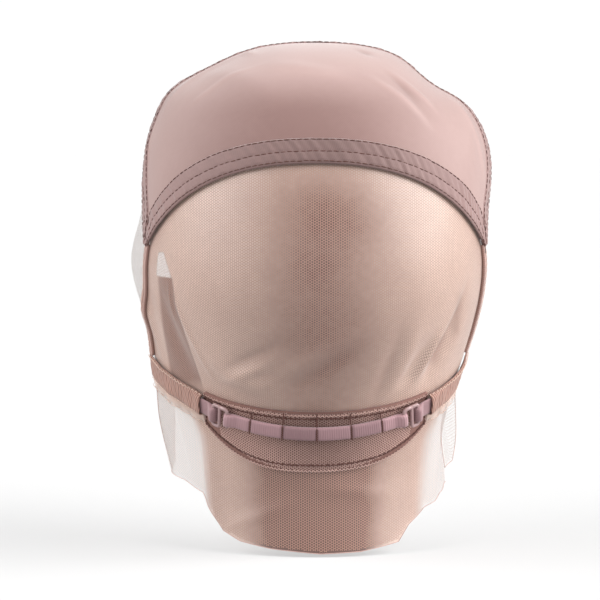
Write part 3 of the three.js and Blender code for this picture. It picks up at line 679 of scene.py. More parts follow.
def row_of_stitches(path, outs, length, gap, width, rise, wander=0.0, seed=1):
    """Straight stitches laid end to end along a line, with a slight wander to each."""
    lengths = path_lengths(path)
    pitch = length + gap
    count = max(int(lengths[-1] / pitch), 1)
    random = np.random.default_rng(seed)
    begin = (np.arange(count) + 0.5) * lengths[-1] / count
    reach = length / 2 * random.uniform(0.92, 1.05, count)
    shift = random.uniform(-wander, wander, (2, count, 1))
    normal = unit(along_path(outs, lengths, begin))
    a, b = along_path(path, lengths, begin - reach), along_path(path, lengths, begin + reach)
    side = np.cross(unit(b - a), normal)
    return stitches(a + side * shift[0], b + side * shift[1], normal, width, rise)


def zigzag_stitches(path, outs, step, swing, width, rise):
    """Stitches that go from side to side of a line, a step forward at each swing."""
    lengths = path_lengths(path)
    count = max(int(lengths[-1] / step), 2)
    at = np.arange(count + 1) * lengths[-1] / count
    points, normal = along_path(path, lengths, at), unit(along_path(outs, lengths, at))
    side = np.cross(unit(np.gradient(points, axis=0)), normal)
    turns = points + side * (swing / 2 * np.where(np.arange(count + 1) % 2, 1, -1))[:, None]
    middle = unit(normal[:-1] + normal[1:])
    return stitches(turns[:-1], turns[1:], middle, width, rise)


# Net

def honeycomb(low, high, pitch, kept, width_at):
    """Flat-topped cells that share strands, as hole corners on the cloth and their faces.

    Columns stand pitch * sqrt(3) / 2 apart, cells stand a pitch apart in a column, and every
    second column is half a pitch lower. A hole's corners stand off its middle by
    (pitch - width) / sqrt(3). A strand joins each pair of kept neighbours, and a small triangle
    fills each meeting of three.
    """
    column_step = pitch * np.sqrt(3) / 2
    columns = int((high[0] - low[0]) / column_step) + 1
    rows = int((high[1] - low[1]) / pitch) + 1
    i, j = np.meshgrid(np.arange(columns), np.arange(rows), indexing="ij")
    middle = np.stack([low[0] + i * column_step, low[1] + (j + 0.5 * (i % 2)) * pitch], axis=-1)
    keep = kept(middle)
    number = np.full((columns + 2, rows + 2), -1)
    number[1:-1, 1:-1][keep] = np.arange(keep.sum())
    hole = (pitch - width_at(middle[keep])) / np.sqrt(3)
    corner = np.radians(60 * np.arange(6))
    ring = np.stack([np.cos(corner), np.sin(corner)], axis=-1)
    flat = middle[keep][:, None] + ring * hole[:, None, None]
    i, j, odd = i[keep] + 1, j[keep] + 1, i[keep] % 2
    own = number[i, j]
    beside = [number[i + 1, j + odd], number[i, j + 1], number[i - 1, j + odd]]
    faces = []
    for edge, other in enumerate(beside):
        a, b = own[other >= 0] * 6, other[other >= 0] * 6
        faces.append(np.stack([a + edge + 1, b + edge + 3, b + (edge + 4) % 6, a + edge], 1))
    for first, second, corners in ((0, 1, (1, 3, 5)), (1, 2, (2, 4, 0))):
        both = (beside[first] >= 0) & (beside[second] >= 0)
        trio = (own[both], beside[first][both], beside[second][both])
        faces.append(np.stack([cell * 6 + k for cell, k in zip(trio, corners)], 1)[:, ::-1])
    return flat.reshape(-1, 2), faces


def past_close_edge(turn, drop):
    """Degrees outside the close-lying part of the back net."""
    return np.abs(turn) - np.interp(drop, CLOSE_EDGE[:, 0], CLOSE_EDGE[:, 1])


def back_cover(turn, drop):
    """How closed the back net looks, by a table of degrees past the close part."""
    cover = np.interp(past_close_edge(turn, drop), COVER[:, 0], COVER[:, 1])
    gap = 1.5 + 0.35 * (drop - 86)
    window = smoothstep(gap - np.abs(turn + 48.5), -0.6, 0.6) * smoothstep(drop, 86, 87)
    return lerp(cover, 0.04, window * (1 - smoothstep(drop, 96, 96.8)))


def back_shade(turn, drop):
    """Painted shade of the back net by the left ear, where it is also doubled, down the middle and
    at the nape.
    """
    # The doubled strip by the left ear, darkened further by painted shade
    left = np.interp(drop, (96, 118, 136), (-42.5, -42, -42.5))
    outer = np.interp(drop, (96, 118, 136), (-54, -60, -64))
    wedge = smoothstep(left - turn, 0, 0.8) * smoothstep(turn - outer, 0, 3)
    wedge = wedge * smoothstep(drop, 96, 97) * (1 - smoothstep(drop, 138, 146))
    # Painted shade in a fold and a notch on the right
    fold = np.exp(-(((turn - 47 - (drop - 111) * 0.25) / 2.2) ** 2)) \
        * smoothstep(drop, 100, 108) * (1 - smoothstep(drop, 118, 124))
    notch = smoothstep(turn, 38, 39.5) * (1 - smoothstep(turn, 43, 47)) \
        * smoothstep(drop, 120, 123) * (1 - smoothstep(drop, 131, 136))
    # Painted shadow at the nape, down the middle and below the collar
    nape = np.exp(-((turn / 26) ** 4)) * smoothstep(drop, 160, 176)
    middle = np.exp(-(((turn - 2) / 18) ** 2)) * smoothstep(drop, 30, 70)
    middle = middle * (1 - 0.25 * smoothstep(drop, 120, 150))
    collar = 0.22 * smoothstep(drop, 140, 165)
    # On the flaps the shade goes to a fixed 0.35
    flap = smoothstep(past_close_edge(turn, drop), -2, 4)
    close = np.maximum(0.9 * wedge, 0.8 * middle) + 0.35 * fold + 0.4 * notch
    close = close + 0.75 * nape + collar + crease_shade(hollow(turn, drop))
    return lerp(np.clip(close, 0, 1.05), 0.35, flap)


BACK_DROPS = np.arange(30.0, 218.0, 1.0)
BACK_TURNS = np.arange(-104.0, 105.0, 1.0)
BACK_ARCS = np.arange(-170.0, 171.0, 1.0)


def back_chart():
    """Turns at arc lengths from the middle of the back, a row for each drop, and row lengths."""
    points = hollow(BACK_TURNS, BACK_DROPS[:, None])
    lengths = path_lengths(points)
    lengths = lengths - lengths[:, len(BACK_TURNS) // 2, None]
    turns = np.stack([np.interp(BACK_ARCS, row, BACK_TURNS) for row in lengths])
    side = hollow(np.full(len(BACK_DROPS), 30.0), BACK_DROPS)
    return turns, path_lengths(side)


def on_back_chart(chart, flat):
    """Turn and drop of points laid out by arc length round the back and length down it."""
    turns, down = chart
    drop = np.interp(flat[..., 1], down, BACK_DROPS)
    return sample(turns, drop - BACK_DROPS[0], flat[..., 0] - BACK_ARCS[0]), drop


def on_back_net(turn, drop):
    """True on the back net: under the rear hem's lap, inside the ear lines, above the edge."""
    points = hollow(turn, drop)
    foot = np.interp(turn / FLAP_TURN, SKIRT_EDGE[:, 0], SKIRT_EDGE[:, 1])
    ear = np.interp(drop, EAR_LINE[:, 1], EAR_LINE[:, 0])
    return (
        (above_plane(points, REAR_TILT) < NET_LAP)
        & (np.abs(turn) < ear - 0.4)
        & (drop < NAPE_DROP + SKIRT_LENGTH * foot - 0.5)
    )


def guard_edges(share):
    """Drops of the guard's top and bottom edges at a share of its half width."""
    top = NAPE_DROP - GUARD_TOP_RISE * share**2
    belly = (GUARD_HEIGHT + GUARD_TOP_RISE - GUARD_END_HEIGHT) * np.abs(share) ** GUARD_POWER
    return top, NAPE_DROP + GUARD_HEIGHT - belly


# Materials

def add_node(tree, kind, place, **settings):
    """Node of a kind at a place, with its settings."""
    node = tree.nodes.new(kind)
    node.location = place
    for key, value in settings.items():
        setattr(node, key, value)
    return node


def weave_group():
    """Waves on cloth coordinates in millimetres: lines across them, and checks of two waves."""
    group = bpy.data.node_groups.get("Weave")
    if group:
        return group
    group = bpy.data.node_groups.new("Weave", "ShaderNodeTree")
    for label, kind in (
        ("Cloth", "NodeSocketVector"),
        ("Across pitch", "NodeSocketFloat"),
        ("Along pitch", "NodeSocketFloat"),
    ):
        group.interface.new_socket(name=label, in_out="INPUT", socket_type=kind)
    for label in ("Lines", "Checks"):
        group.interface.new_socket(name=label, in_out="OUTPUT", socket_type="NodeSocketFloat")
    start = add_node(group, "NodeGroupInput", (-800, 0))
    end = add_node(group, "NodeGroupOutput", (800, 0))
    split = add_node(group, "ShaderNodeSeparateXYZ", (-600, 0))
    link = group.links.new
    link(start.outputs["Cloth"], split.inputs[0])
    waves = []
    for row, (axis, pitch) in enumerate((("X", "Across pitch"), ("Y", "Along pitch"))):
        count = add_node(group, "ShaderNodeMath", (-400, -200 * row), operation="DIVIDE")
        link(split.outputs[axis], count.inputs[0])
        link(start.outputs[pitch], count.inputs[1])
        turn = add_node(group, "ShaderNodeMath", (-200, -200 * row), operation="MULTIPLY")
        turn.inputs[1].default_value = 2 * np.pi
        link(count.outputs[0], turn.inputs[0])
        wave = add_node(group, "ShaderNodeMath", (0, -200 * row), operation="SINE")
        link(turn.outputs[0], wave.inputs[0])
        waves.append(wave)
    both = add_node(group, "ShaderNodeMath", (200, 0), operation="MULTIPLY")
    link(waves[0].outputs[0], both.inputs[0])
    link(waves[1].outputs[0], both.inputs[1])
    for row, (wave, label) in enumerate(((waves[0], "Lines"), (both, "Checks"))):
        half = add_node(group, "ShaderNodeMath", (500, -200 * row), operation="MULTIPLY_ADD")
        half.inputs[1].default_value = 0.5
        half.inputs[2].default_value = 0.5
        link(wave.outputs[0], half.inputs[0])
        link(half.outputs[0], end.inputs[label])
    return group


def mottle_group():
    """Soft clouds on object coordinates: one value about 0.5 from two sizes of noise."""
    group = bpy.data.node_groups.get("Mottle")
    if group:
        return group
    group = bpy.data.node_groups.new("Mottle", "ShaderNodeTree")
    socket = group.interface.new_socket(
        name="Scale", in_out="INPUT", socket_type="NodeSocketFloat"
    )
    socket.default_value = 60.0
    group.interface.new_socket(name="Value", in_out="OUTPUT", socket_type="NodeSocketFloat")
    start = add_node(group, "NodeGroupInput", (-800, 0))
    end = add_node(group, "NodeGroupOutput", (400, 0))
    place = add_node(group, "ShaderNodeTexCoord", (-800, 200))
    coarse = add_node(group, "ShaderNodeTexNoise", (-400, 200))
    coarse.inputs["Detail"].default_value = 3.0
    fine = add_node(group, "ShaderNodeTexNoise", (-400, -200))
    fine.inputs["Detail"].default_value = 4.0
    larger = add_node(group, "ShaderNodeMath", (-600, -200), operation="MULTIPLY")
    larger.inputs[1].default_value = 9.0
    mix = add_node(group, "ShaderNodeMix", (0, 0), data_type="FLOAT")
    mix.inputs[0].default_value = 0.35
    link = group.links.new
    for noise in (coarse, fine):
        link(place.outputs["Object"], noise.inputs["Vector"])
    link(start.outputs["Scale"], coarse.inputs["Scale"])
    link(start.outputs["Scale"], larger.inputs[0])
    link(larger.outputs[0], fine.inputs["Scale"])
    link(coarse.outputs["Fac"], mix.inputs[2])
    link(fine.outputs["Fac"], mix.inputs[3])
    link(mix.outputs[0], end.inputs["Value"])
    return group


def cloth_material(name, colour, shade, roughness, sheen=0.2, mottle=60.0, weave=None,
                   bump=0.3, cover=False, shaded=False, lines=False, woven=0.55):
    """Cloth that runs from its colour to a shade, by mottle, its weave and painted shade."""
    material = bpy.data.materials.new(name)
    material.use_nodes = True
    tree = material.node_tree
    link = tree.links.new
    shader = tree.nodes["Principled BSDF"]
    shader.inputs["Roughness"].default_value = roughness
    shader.inputs["Sheen Weight"].default_value = sheen
    shader.inputs["Sheen Roughness"].default_value = 0.4
    shader.inputs["Specular IOR Level"].default_value = 0.3
    clouds = add_node(tree, "ShaderNodeGroup", (-900, 200), node_tree=mottle_group())
    clouds.inputs["Scale"].default_value = mottle
    spread = add_node(tree, "ShaderNodeMapRange", (-700, 200))
    spread.inputs["From Min"].default_value = 0.3
    spread.inputs["From Max"].default_value = 0.7
    link(clouds.outputs["Value"], spread.inputs["Value"])
    dark = spread.outputs["Result"]
    if weave:
        cloth = add_node(tree, "ShaderNodeUVMap", (-1100, -200), uv_map="cloth")
        threads = add_node(tree, "ShaderNodeGroup", (-900, -200), node_tree=weave_group())
        threads.inputs["Across pitch"].default_value = weave[0]
        threads.inputs["Along pitch"].default_value = weave[1]
        link(cloth.outputs["UV"], threads.inputs["Cloth"])
        both = add_node(tree, "ShaderNodeMix", (-500, 0), data_type="FLOAT")
        both.inputs[0].default_value = woven
        link(dark, both.inputs[2])
        link(threads.outputs["Lines" if lines else "Checks"], both.inputs[3])
        dark = both.outputs[0]
        relief = add_node(tree, "ShaderNodeBump", (-300, -300))
        relief.inputs["Strength"].default_value = bump
        relief.inputs["Distance"].default_value = 0.0001
        link(threads.outputs["Lines" if lines else "Checks"], relief.inputs["Height"])
        link(relief.outputs["Normal"], shader.inputs["Normal"])
    if shaded:
        painted = add_node(tree, "ShaderNodeAttribute", (-900, 450), attribute_name="shade")
        part = add_node(tree, "ShaderNodeMath", (-500, 400), operation="MULTIPLY")
        part.inputs[1].default_value = 0.25
        link(dark, part.inputs[0])
        deeper = add_node(tree, "ShaderNodeMath", (-300, 400), operation="ADD", use_clamp=True)
        link(part.outputs[0], deeper.inputs[0])
        link(painted.outputs["Fac"], deeper.inputs[1])
        dark = deeper.outputs[0]
        matt = add_node(tree, "ShaderNodeMapRange", (-300, 600))
        matt.inputs["To Min"].default_value = roughness
        matt.inputs["To Max"].default_value = 0.85
        link(painted.outputs["Fac"], matt.inputs["Value"])
        link(matt.outputs["Result"], shader.inputs["Roughness"])
    mix = add_node(tree, "ShaderNodeMix", (-200, 100), data_type="RGBA", clamp_factor=False)
    mix.inputs[6].default_value = (*colour, 1)
    mix.inputs[7].default_value = (*shade, 1)
    link(dark, mix.inputs[0])
    link(mix.outputs[2], shader.inputs["Base Color"])
    if cover:
        closed = add_node(tree, "ShaderNodeAttribute", (-300, -100), attribute_name="cover")
        link(closed.outputs["Fac"], shader.inputs["Alpha"])
        open_part = add_node(tree, "ShaderNodeMapRange", (-100, -300))
        open_part.inputs["From Min"].default_value = 0.35
        open_part.inputs["From Max"].default_value = 0.85
        open_part.inputs["To Min"].default_value = 1.0
        open_part.inputs["To Max"].default_value = 0.0
        link(closed.outputs["Fac"], open_part.inputs["Value"])
        sheer = add_node(tree, "ShaderNodeMix", (0, 100), data_type="RGBA")
        sheer.inputs[7].default_value = (*SHEER_GREY, 1)
        link(open_part.outputs["Result"], sheer.inputs[0])
        link(mix.outputs[2], sheer.inputs[6])
        link(sheer.outputs[2], shader.inputs["Base Color"])
    return material


def gloss(material, level, coat):
    """Sets a cloth's specular level and coat."""
    shader = material.node_tree.nodes["Principled BSDF"]
    shader.inputs["Specular IOR Level"].default_value = level
    shader.inputs["Coat Weight"].default_value = coat
    shader.inputs["Coat Roughness"].default_value = 0.35


def colour_of(name):
    """Colour of the panel's list, as three linear values."""
    return tuple(getattr(bpy.context.scene.wig_cap_colours, name))


def size_of(name):
    """Size of the panel's list, in millimetres."""
    return getattr(bpy.context.scene.wig_cap_sizes, name) / MM


# Shares of a colour's three channels that are left in full shade
GROUND_TINT = (0.13, 0.065, 0.05)
THREAD_TINT = (1.12, 0.97, 0.92)
NYLON_TINT = (0.50, 0.43, 0.42)

# Colour of a net so sheer that it no longer shows its own
SHEER_GREY = (0.58, 0.57, 0.555)


def tinted(colour, tint):
    """Colour times a tint."""
    return tuple(value * share for value, share in zip(colour, tint))


def darker(colour, share):
    """Colour at a share of its brightness."""
    return tuple(value * share for value in colour)


# Properties

def length_property(label, description, millimetres):
    """Length that a user may change, given in millimetres and kept in metres."""
    return bpy.props.FloatProperty(
        name=label, description=description, default=millimetres * MM, min=0.0,
        unit="LENGTH", precision=5,
    )


def colour_property(label, description, colour):
    """Colour that a user may change, in linear light."""
    return bpy.props.FloatVectorProperty(
        name=label, description=description, default=colour, min=0.0, max=1.0,
        size=3, subtype="COLOR",
    )


class WigCapSizes(bpy.types.PropertyGroup):
    """Sizes of the threads, nets and trims."""

    net_pitch: length_property("Net pitch", "Distance between the net's holes", 1.08)
    back_strand: length_property("Back strand", "Width of a strand at the back", 0.24)
    flap_strand: length_property("Flap strand", "Width of a strand on the flaps", 0.13)
    front_strand: length_property("Front strand", "Width of a strand at the front", 0.16)
    guard_strand: length_property("Guard strand", "Width of a strand on the guard", 0.30)
    nylon_thickness: length_property("Nylon", "Thickness of the crown panel", 0.6)
    stitch_length: length_property("Stitch", "Length of a hem stitch", 2.3)
    stitch_gap: length_property("Stitch gap", "Gap between hem stitches", 0.35)
    stitch_width: length_property("Thread", "Width of the sewing thread", 0.42)
    strap_width: length_property("Strap width", "Width of the nape strap", 6.3)
    strap_thickness: length_property("Strap thickness", "Thickness of the nape strap", 1.9)
    elastic_width: length_property("Elastic width", "Width of the side elastics", 7.6)
    elastic_length: length_property("Elastic length", "Length of a side elastic", 16.0)
    wire_width: length_property("Hook wire", "Width of the hook's wire", 1.5)
    wire_depth: length_property("Hook depth", "Depth of the hook's wire", 1.4)


class WigCapColours(bpy.types.PropertyGroup):
    """Colours of the cloths, threads and hooks."""

    nylon: colour_property("Nylon", "Crown panel", (0.45, 0.31, 0.287))
    hem: colour_property("Hem", "Doubled nylon of the hems", (0.36, 0.225, 0.21))
    net_thread: colour_property("Net thread", "Strands of the net", (0.40, 0.255, 0.205))
    sheer_thread: colour_property("Sheer thread", "Strands of the front net",
                                  (0.44, 0.36, 0.33))
    net_ground: colour_property("Net ground", "Finest filaments behind the strands",
                                (0.86, 0.655, 0.555))
    guard: colour_property("Guard", "Doubled net of the guard and casings", (0.23, 0.115, 0.095))
    guard_thread: colour_property("Guard thread", "Strands of the guard", (0.62, 0.40, 0.35))
    strap: colour_property("Strap", "Ribbon of the strap", (0.46, 0.275, 0.295))
    elastic: colour_property("Elastic", "Ribbon of the side elastics", (0.42, 0.25, 0.265))
    dark_thread: colour_property("Dark thread", "Stitches of the hems and bars",
                                 (0.12, 0.045, 0.035))
    pale_thread: colour_property("Pale thread", "Zigzag along the casings", (0.80, 0.58, 0.48))
    casing: colour_property("Casing", "Net folded over the side elastics", (0.50, 0.285, 0.23))
    flange: colour_property("Flange", "Raw edge below the casings", (0.72, 0.50, 0.41))
    hook: colour_property("Hook", "Nylon coat of the hooks", (0.42, 0.27, 0.27))


# Operators

class WIGCAP_OT_panel(bpy.types.Operator):
    """Stretch nylon panel from ear to ear over the crown"""

    bl_idname = "wigcap.crown_panel"
    bl_label = "Crown panel"

    def execute(self, context):
        rows, columns = 72, 150
        end = sweep_near(HEM_WIDTH + TIP_ROUND)
        sweep = np.linspace(-end, end, columns + 1)
        rear = tilt_beyond(sweep, REAR_TILT, HEM_WIDTH - 1.2)
        front = tilt_beyond(sweep, FRONT_TILT, HEM_WIDTH - 1.2)
        tilt = lerp(rear, front, np.linspace(0, 1, rows + 1)[:, None])
        base = crown_points(np.broadcast_to(sweep, tilt.shape), tilt)
        points = raised(base, OVER_NET + 0.9)
        cloth = np.stack([
            path_lengths(points), path_lengths(points.swapaxes(0, 1)).T
        ], axis=-1)
        colour = colour_of("nylon")
        material = cloth_material("Stretch nylon", colour, tinted(colour, NYLON_TINT), 0.42, 0.35,
                                  mottle=35.0, weave=(0.9, 0.9), bump=0.25, shaded=True)
        turn, drop = turn_of(base), -base[..., 2]
        # Painted shade down the middle of the panel and in its creases
        shade = np.exp(-(((turn + 4) / 40) ** 2)) * smoothstep(drop, 8, 32)
        piece = make_piece("crown_panel_cloth", points, [grid_faces(rows, columns, True)],
                           material, uv=cloth,
                           values={"shade": np.clip(0.9 * shade + 3 * crease_shade(base), 0, 1)})
        thicken(piece, size_of("nylon_thickness"))
        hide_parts("crown_panel")
        return {"FINISHED"}


def hem_grid(edge, rows, columns):
    """Base points of a hem from its edge inwards."""
    end = sweep_near(TIP_ROUND)
    sweep = np.linspace(-end, end, columns + 1)
    reach = tip_line_distance(crown_points(sweep, edge))
    limit = abs(MIDDLE_TILT - edge) - 4.0
    turn = np.minimum(np.degrees(HEM_WIDTH / reach), limit)
    inner = edge + np.sign(MIDDLE_TILT - edge) * turn
    tilt = lerp(np.full_like(sweep, edge), inner, np.linspace(0, 1, rows + 1)[:, None])
    return crown_points(np.broadcast_to(sweep, tilt.shape), tilt)


HEM_ROWS = (0.10, 0.47, 0.92)


def hem_height(share, run):
    """Height over the hollow: rounded edges, grooves at the stitch rows, puckers between."""
    edge = 1.0 - np.exp(-np.minimum(share, 1 - share) / 0.035)
    groove = sum(np.exp(-(((share - row) / 0.03) ** 2)) for row in HEM_ROWS)
    between = np.clip(1 - groove, 0, 1)
    pucker = np.sin(run * 1.15 + 2.6 * np.sin(run / 7.3)) * np.sin(run * 0.37 + 1.0)
    return OVER_NET + 0.7 + 0.8 * edge - 0.28 * groove + 0.26 * pucker * between * edge


class WIGCAP_OT_hems(bpy.types.Operator):
    """Doubled bands on both edges of the panel, each with three rows of stitches"""

    bl_idname = "wigcap.hems"
    bl_label = "Hems"

    def execute(self, context):
        rows, columns = 20, 480
        colour = colour_of("hem")
        material = cloth_material("Doubled nylon", colour, darker(colour, 0.42), 0.5, 0.5,
                                  mottle=80.0, weave=(0.9, 0.9), bump=0.35, shaded=True)
        thread = cloth_material("Dark sewing thread", colour_of("dark_thread"),
                                darker(colour_of("dark_thread"), 0.6), 0.5, 0.1, mottle=900.0)
        for name, edge, seed in (("rear_hem", REAR_TILT, 3), ("front_hem", FRONT_TILT, 4)):
            base = hem_grid(edge, rows, columns)
            run = path_lengths(base)
            share = np.linspace(0, 1, rows + 1)[:, None]
            points = raised(base, hem_height(share, run))
            cloth = np.stack([run, np.broadcast_to(share * HEM_WIDTH, run.shape)], axis=-1)
            # Painted shade, darkest at the middle of the back
            shade = 0.15 + 0.6 * np.exp(-(((turn_of(base) - 2) / 32) ** 2))
            piece = make_piece(f"{name}_band", points,
                               [grid_faces(rows, columns, edge < 90)], material, uv=cloth,
                               values={"shade": shade})
            thicken(piece, SEWN_DEPTH)
            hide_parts(name)
            seams = []
            for number, row in enumerate(HEM_ROWS):
                line = base[0] + (base[-1] - base[0]) * row
                line = raised(settled(line), OVER_NET + 1.25)
                seams.append(row_of_stitches(
                    line, outward(line), size_of("stitch_length"), size_of("stitch_gap"),
                    size_of("stitch_width"), 0.12, wander=0.12, seed=seed * 10 + number,
                ))
            if edge < 90:
                share = np.linspace(0, 1, 12)
                tail = hollow(TIP_TURN - 6.0 + 3.2 * share, TIP_DROP - 4.5 + 6.0 * share)
                tail = raised(tail, OVER_NET + 1.7 + 0.5 * np.sin(np.pi * share))
                seams.append(tube(tail, outward(tail), 0.4, 0.4, 6))
            points, faces = joined(seams)
            make_piece(f"{name}_stitches", points, faces, thread)
        return {"FINISHED"}


class WIGCAP_OT_side_seams(bpy.types.Operator):
    """Narrow seam from each ear tip down to the casing, with a zigzag thread on it"""

    bl_idname = "wigcap.side_seams"
    bl_label = "Side seams"

    def execute(self, context):
        colour = colour_of("guard_thread")
        material = cloth_material("Seam net", colour, darker(colour, 0.5), 0.7, 0.2,
                                  mottle=120.0, weave=(1.0, 1.0), bump=0.6)
        pale = cloth_material("Pale sewing thread", colour_of("pale_thread"),
                              darker(colour_of("pale_thread"), 0.7), 0.5, 0.2, mottle=600.0)
        rows = 60
        length = np.linalg.norm(hollow(TIP_TURN, TIP_DROP) - hollow(SEAM_TURN, SEAM_DROP))
        foot = size_of("elastic_width") / 2 + CASING_WALL
        share = np.linspace(-1.8 / length, 1 - foot / length, rows + 1)
        ups = np.linspace(-SEAM_WIDTH / 2, SEAM_WIDTH / 2, 9)
        for name, side in (("left", -1), ("right", 1)):
            middle = hollow(side * lerp(TIP_TURN, SEAM_TURN, share),
                            lerp(TIP_DROP, SEAM_DROP, share))
            angle = np.radians(turn_of(middle))
            around = np.stack([np.cos(angle), np.sin(angle), np.zeros_like(angle)], axis=-1)
            base = settled(middle[:, None] + around[:, None] * ups[None, :, None])
            points = raised(base, OVER_NET + 0.85 - 0.35 * (2 * ups / SEAM_WIDTH) ** 2)
            cloth = np.stack([
                np.broadcast_to(ups, points.shape[:2]),
                np.broadcast_to(share[:, None] * length, points.shape[:2]),
            ], axis=-1)
            piece = make_piece(f"side_seam_{name}_cloth", points, [grid_faces(rows, 8)],
                               material, uv=cloth)
            thicken(piece, SEWN_DEPTH)
            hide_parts(f"side_seam_{name}")
            line = raised(middle, OVER_NET + 1.0)
            points, faces = zigzag_stitches(line, outward(line), 1.5, 1.4, 0.32, 0.1)
            make_piece(f"side_seam_{name}_thread", points, faces, pale)
        return {"FINISHED"}


class WIGCAP_OT_back_net(bpy.types.Operator):
    """Net at the back: its cloth, and the strands round its holes"""

    bl_idname = "wigcap.back_net"
    bl_label = "Back net"

    def execute(self, context):
        rows, columns = 150, 190
        base = back_net_points(rows, columns)
        turn, drop = turn_of(base), -base[..., 2]
        ground = colour_of("net_ground")
        cloth = cloth_material("Net ground", ground, tinted(ground, GROUND_TINT), 0.40, 0.4,
                               mottle=45.0, cover=True, shaded=True)
        gloss(cloth, 1.0, 0.6)
        piece = make_piece("back_net", raised(base, NET_HEIGHT), [grid_faces(rows, columns)],
                           cloth, values={"cover": back_cover(turn, drop),
                                          "shade": back_shade(turn, drop)})
        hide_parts("back_lace")
        colour = colour_of("net_thread")
        thread = cloth_material("Net thread", colour, tinted(colour, THREAD_TINT), 0.5, 0.3,
                                mottle=45.0, shaded=True)
        gloss(thread, 0.8, 0.2)
        chart = back_chart()
        split = float(np.interp(NAPE_DROP, BACK_DROPS, chart[1]))
        for name, low, high in (
            ("back_net_strands", 0.0, split),
            ("skirt_net_strands", split, chart[1][-1]),
        ):
            flat, faces = honeycomb(
                (-168.0, 0.0), (168.0, chart[1][-1]), size_of("net_pitch"),
                lambda middle: on_back_net(*on_back_chart(chart, middle))
                & (middle[..., 1] >= low - size_of("net_pitch")) & (middle[..., 1] < high),
                lambda middle: lerp(
                    size_of("back_strand"), size_of("flap_strand"),
                    smoothstep(past_close_edge(*on_back_chart(chart, middle)), -3, 5)
                ),
            )
            turn, drop = on_back_chart(chart, flat)
            points = raised(hollow(turn, drop), STRAND_HEIGHT)
            make_piece(name, points, faces, thread,
                                      values={"shade": back_shade(turn, drop)})
        return {"FINISHED"}


class WIGCAP_OT_front_net(bpy.types.Operator):
    """Net over the forehead and temples, with a lobe in front of each ear"""

    bl_idname = "wigcap.front_net"
    bl_label = "Front net"

    def execute(self, context):
        rows, columns = 90, 190
        base = front_net_points(rows, columns)
        order = np.arange(columns + 1.0)
        ground = colour_of("net_ground")
        cloth = cloth_material("Sheer ground", ground, darker(ground, 0.8), 0.75, 0.1,
                               mottle=45.0, cover=True)
        piece = make_piece("front_net", raised(base, NET_HEIGHT), [grid_faces(rows, columns)],
                           cloth, values={"cover": np.broadcast_to(
                               0.13 + 0.4 * np.exp(-np.minimum(order, order[::-1]) / 3.5),
                               base.shape[:2])})
        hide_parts("front_lace")
        lengths = path_lengths(base)
        lengths = lengths - lengths[:, columns // 2, None]
        down = path_lengths(base.swapaxes(0, 1)).mean(axis=0)
        arcs = np.arange(-180.0, 181.0, 1.0)
        across = np.stack([np.interp(arcs, row, order) for row in lengths])
        widest = np.stack([lengths[:, 0], lengths[:, -1]])

        def on_grid(flat):
            row = np.interp(flat[..., 1], down, np.arange(rows + 1.0))
            return row, sample(across, row, flat[..., 0] - arcs[0])

        def kept(middle):
            row = np.interp(middle[..., 1], down, np.arange(rows + 1.0))
            start = np.interp(row, np.arange(rows + 1.0), widest[0])
            end = np.interp(row, np.arange(rows + 1.0), widest[1])
            return (middle[..., 0] > start + 0.5) & (middle[..., 0] < end - 0.5) \
                & (middle[..., 1] > 0.5) & (middle[..., 1] < down[-1] - 0.5)

        colour = colour_of("sheer_thread")
        thread = cloth_material("Sheer net thread", colour, darker(colour, 0.85), 0.6, 0.2,
                                mottle=45.0)
        for name, side in (("front_net_strands_right", -1), ("front_net_strands_left", 1)):
            flat, faces = honeycomb(
                (-178.0, 0.0), (178.0, down[-1]), size_of("net_pitch"),
                lambda middle: kept(middle) & (middle[..., 0] * side >= -size_of("net_pitch") / 2),
                lambda middle: np.full(len(middle), size_of("front_strand")),
            )
            points = sample(base, *on_grid(flat))
            make_piece(name, raised(points, STRAND_HEIGHT), faces, thread)
        return {"FINISHED"}


class WIGCAP_OT_raw_edges(bpy.types.Operator):
    """Cut edges of both nets, where the last strands bunch into a fine cord"""

    bl_idname = "wigcap.raw_edges"
    bl_label = "Raw edges"

    def execute(self, context):
        colour = colour_of("guard_thread")
        material = cloth_material("Cut strands", colour, darker(colour, 0.6), 0.6, 0.2,
                                  mottle=300.0)
        count = 700
        back = back_net_points(150, count)[-1]
        front = front_net_points(90, count)[-1]
        ear = place_along(EAR_LINE, np.linspace(0.62, 1, 120))
        lines = [back, front, hollow(ear[0], ear[1]), hollow(-ear[0], ear[1])]
        parts = []
        for line in lines:
            path = raised(line, STRAND_HEIGHT - 0.1)
            parts.append(tube(path, outward(line), 0.34, 0.3, 6))
        points, faces = joined(parts)
        make_piece("net_edges", points, faces, material)
        return {"FINISHED"}


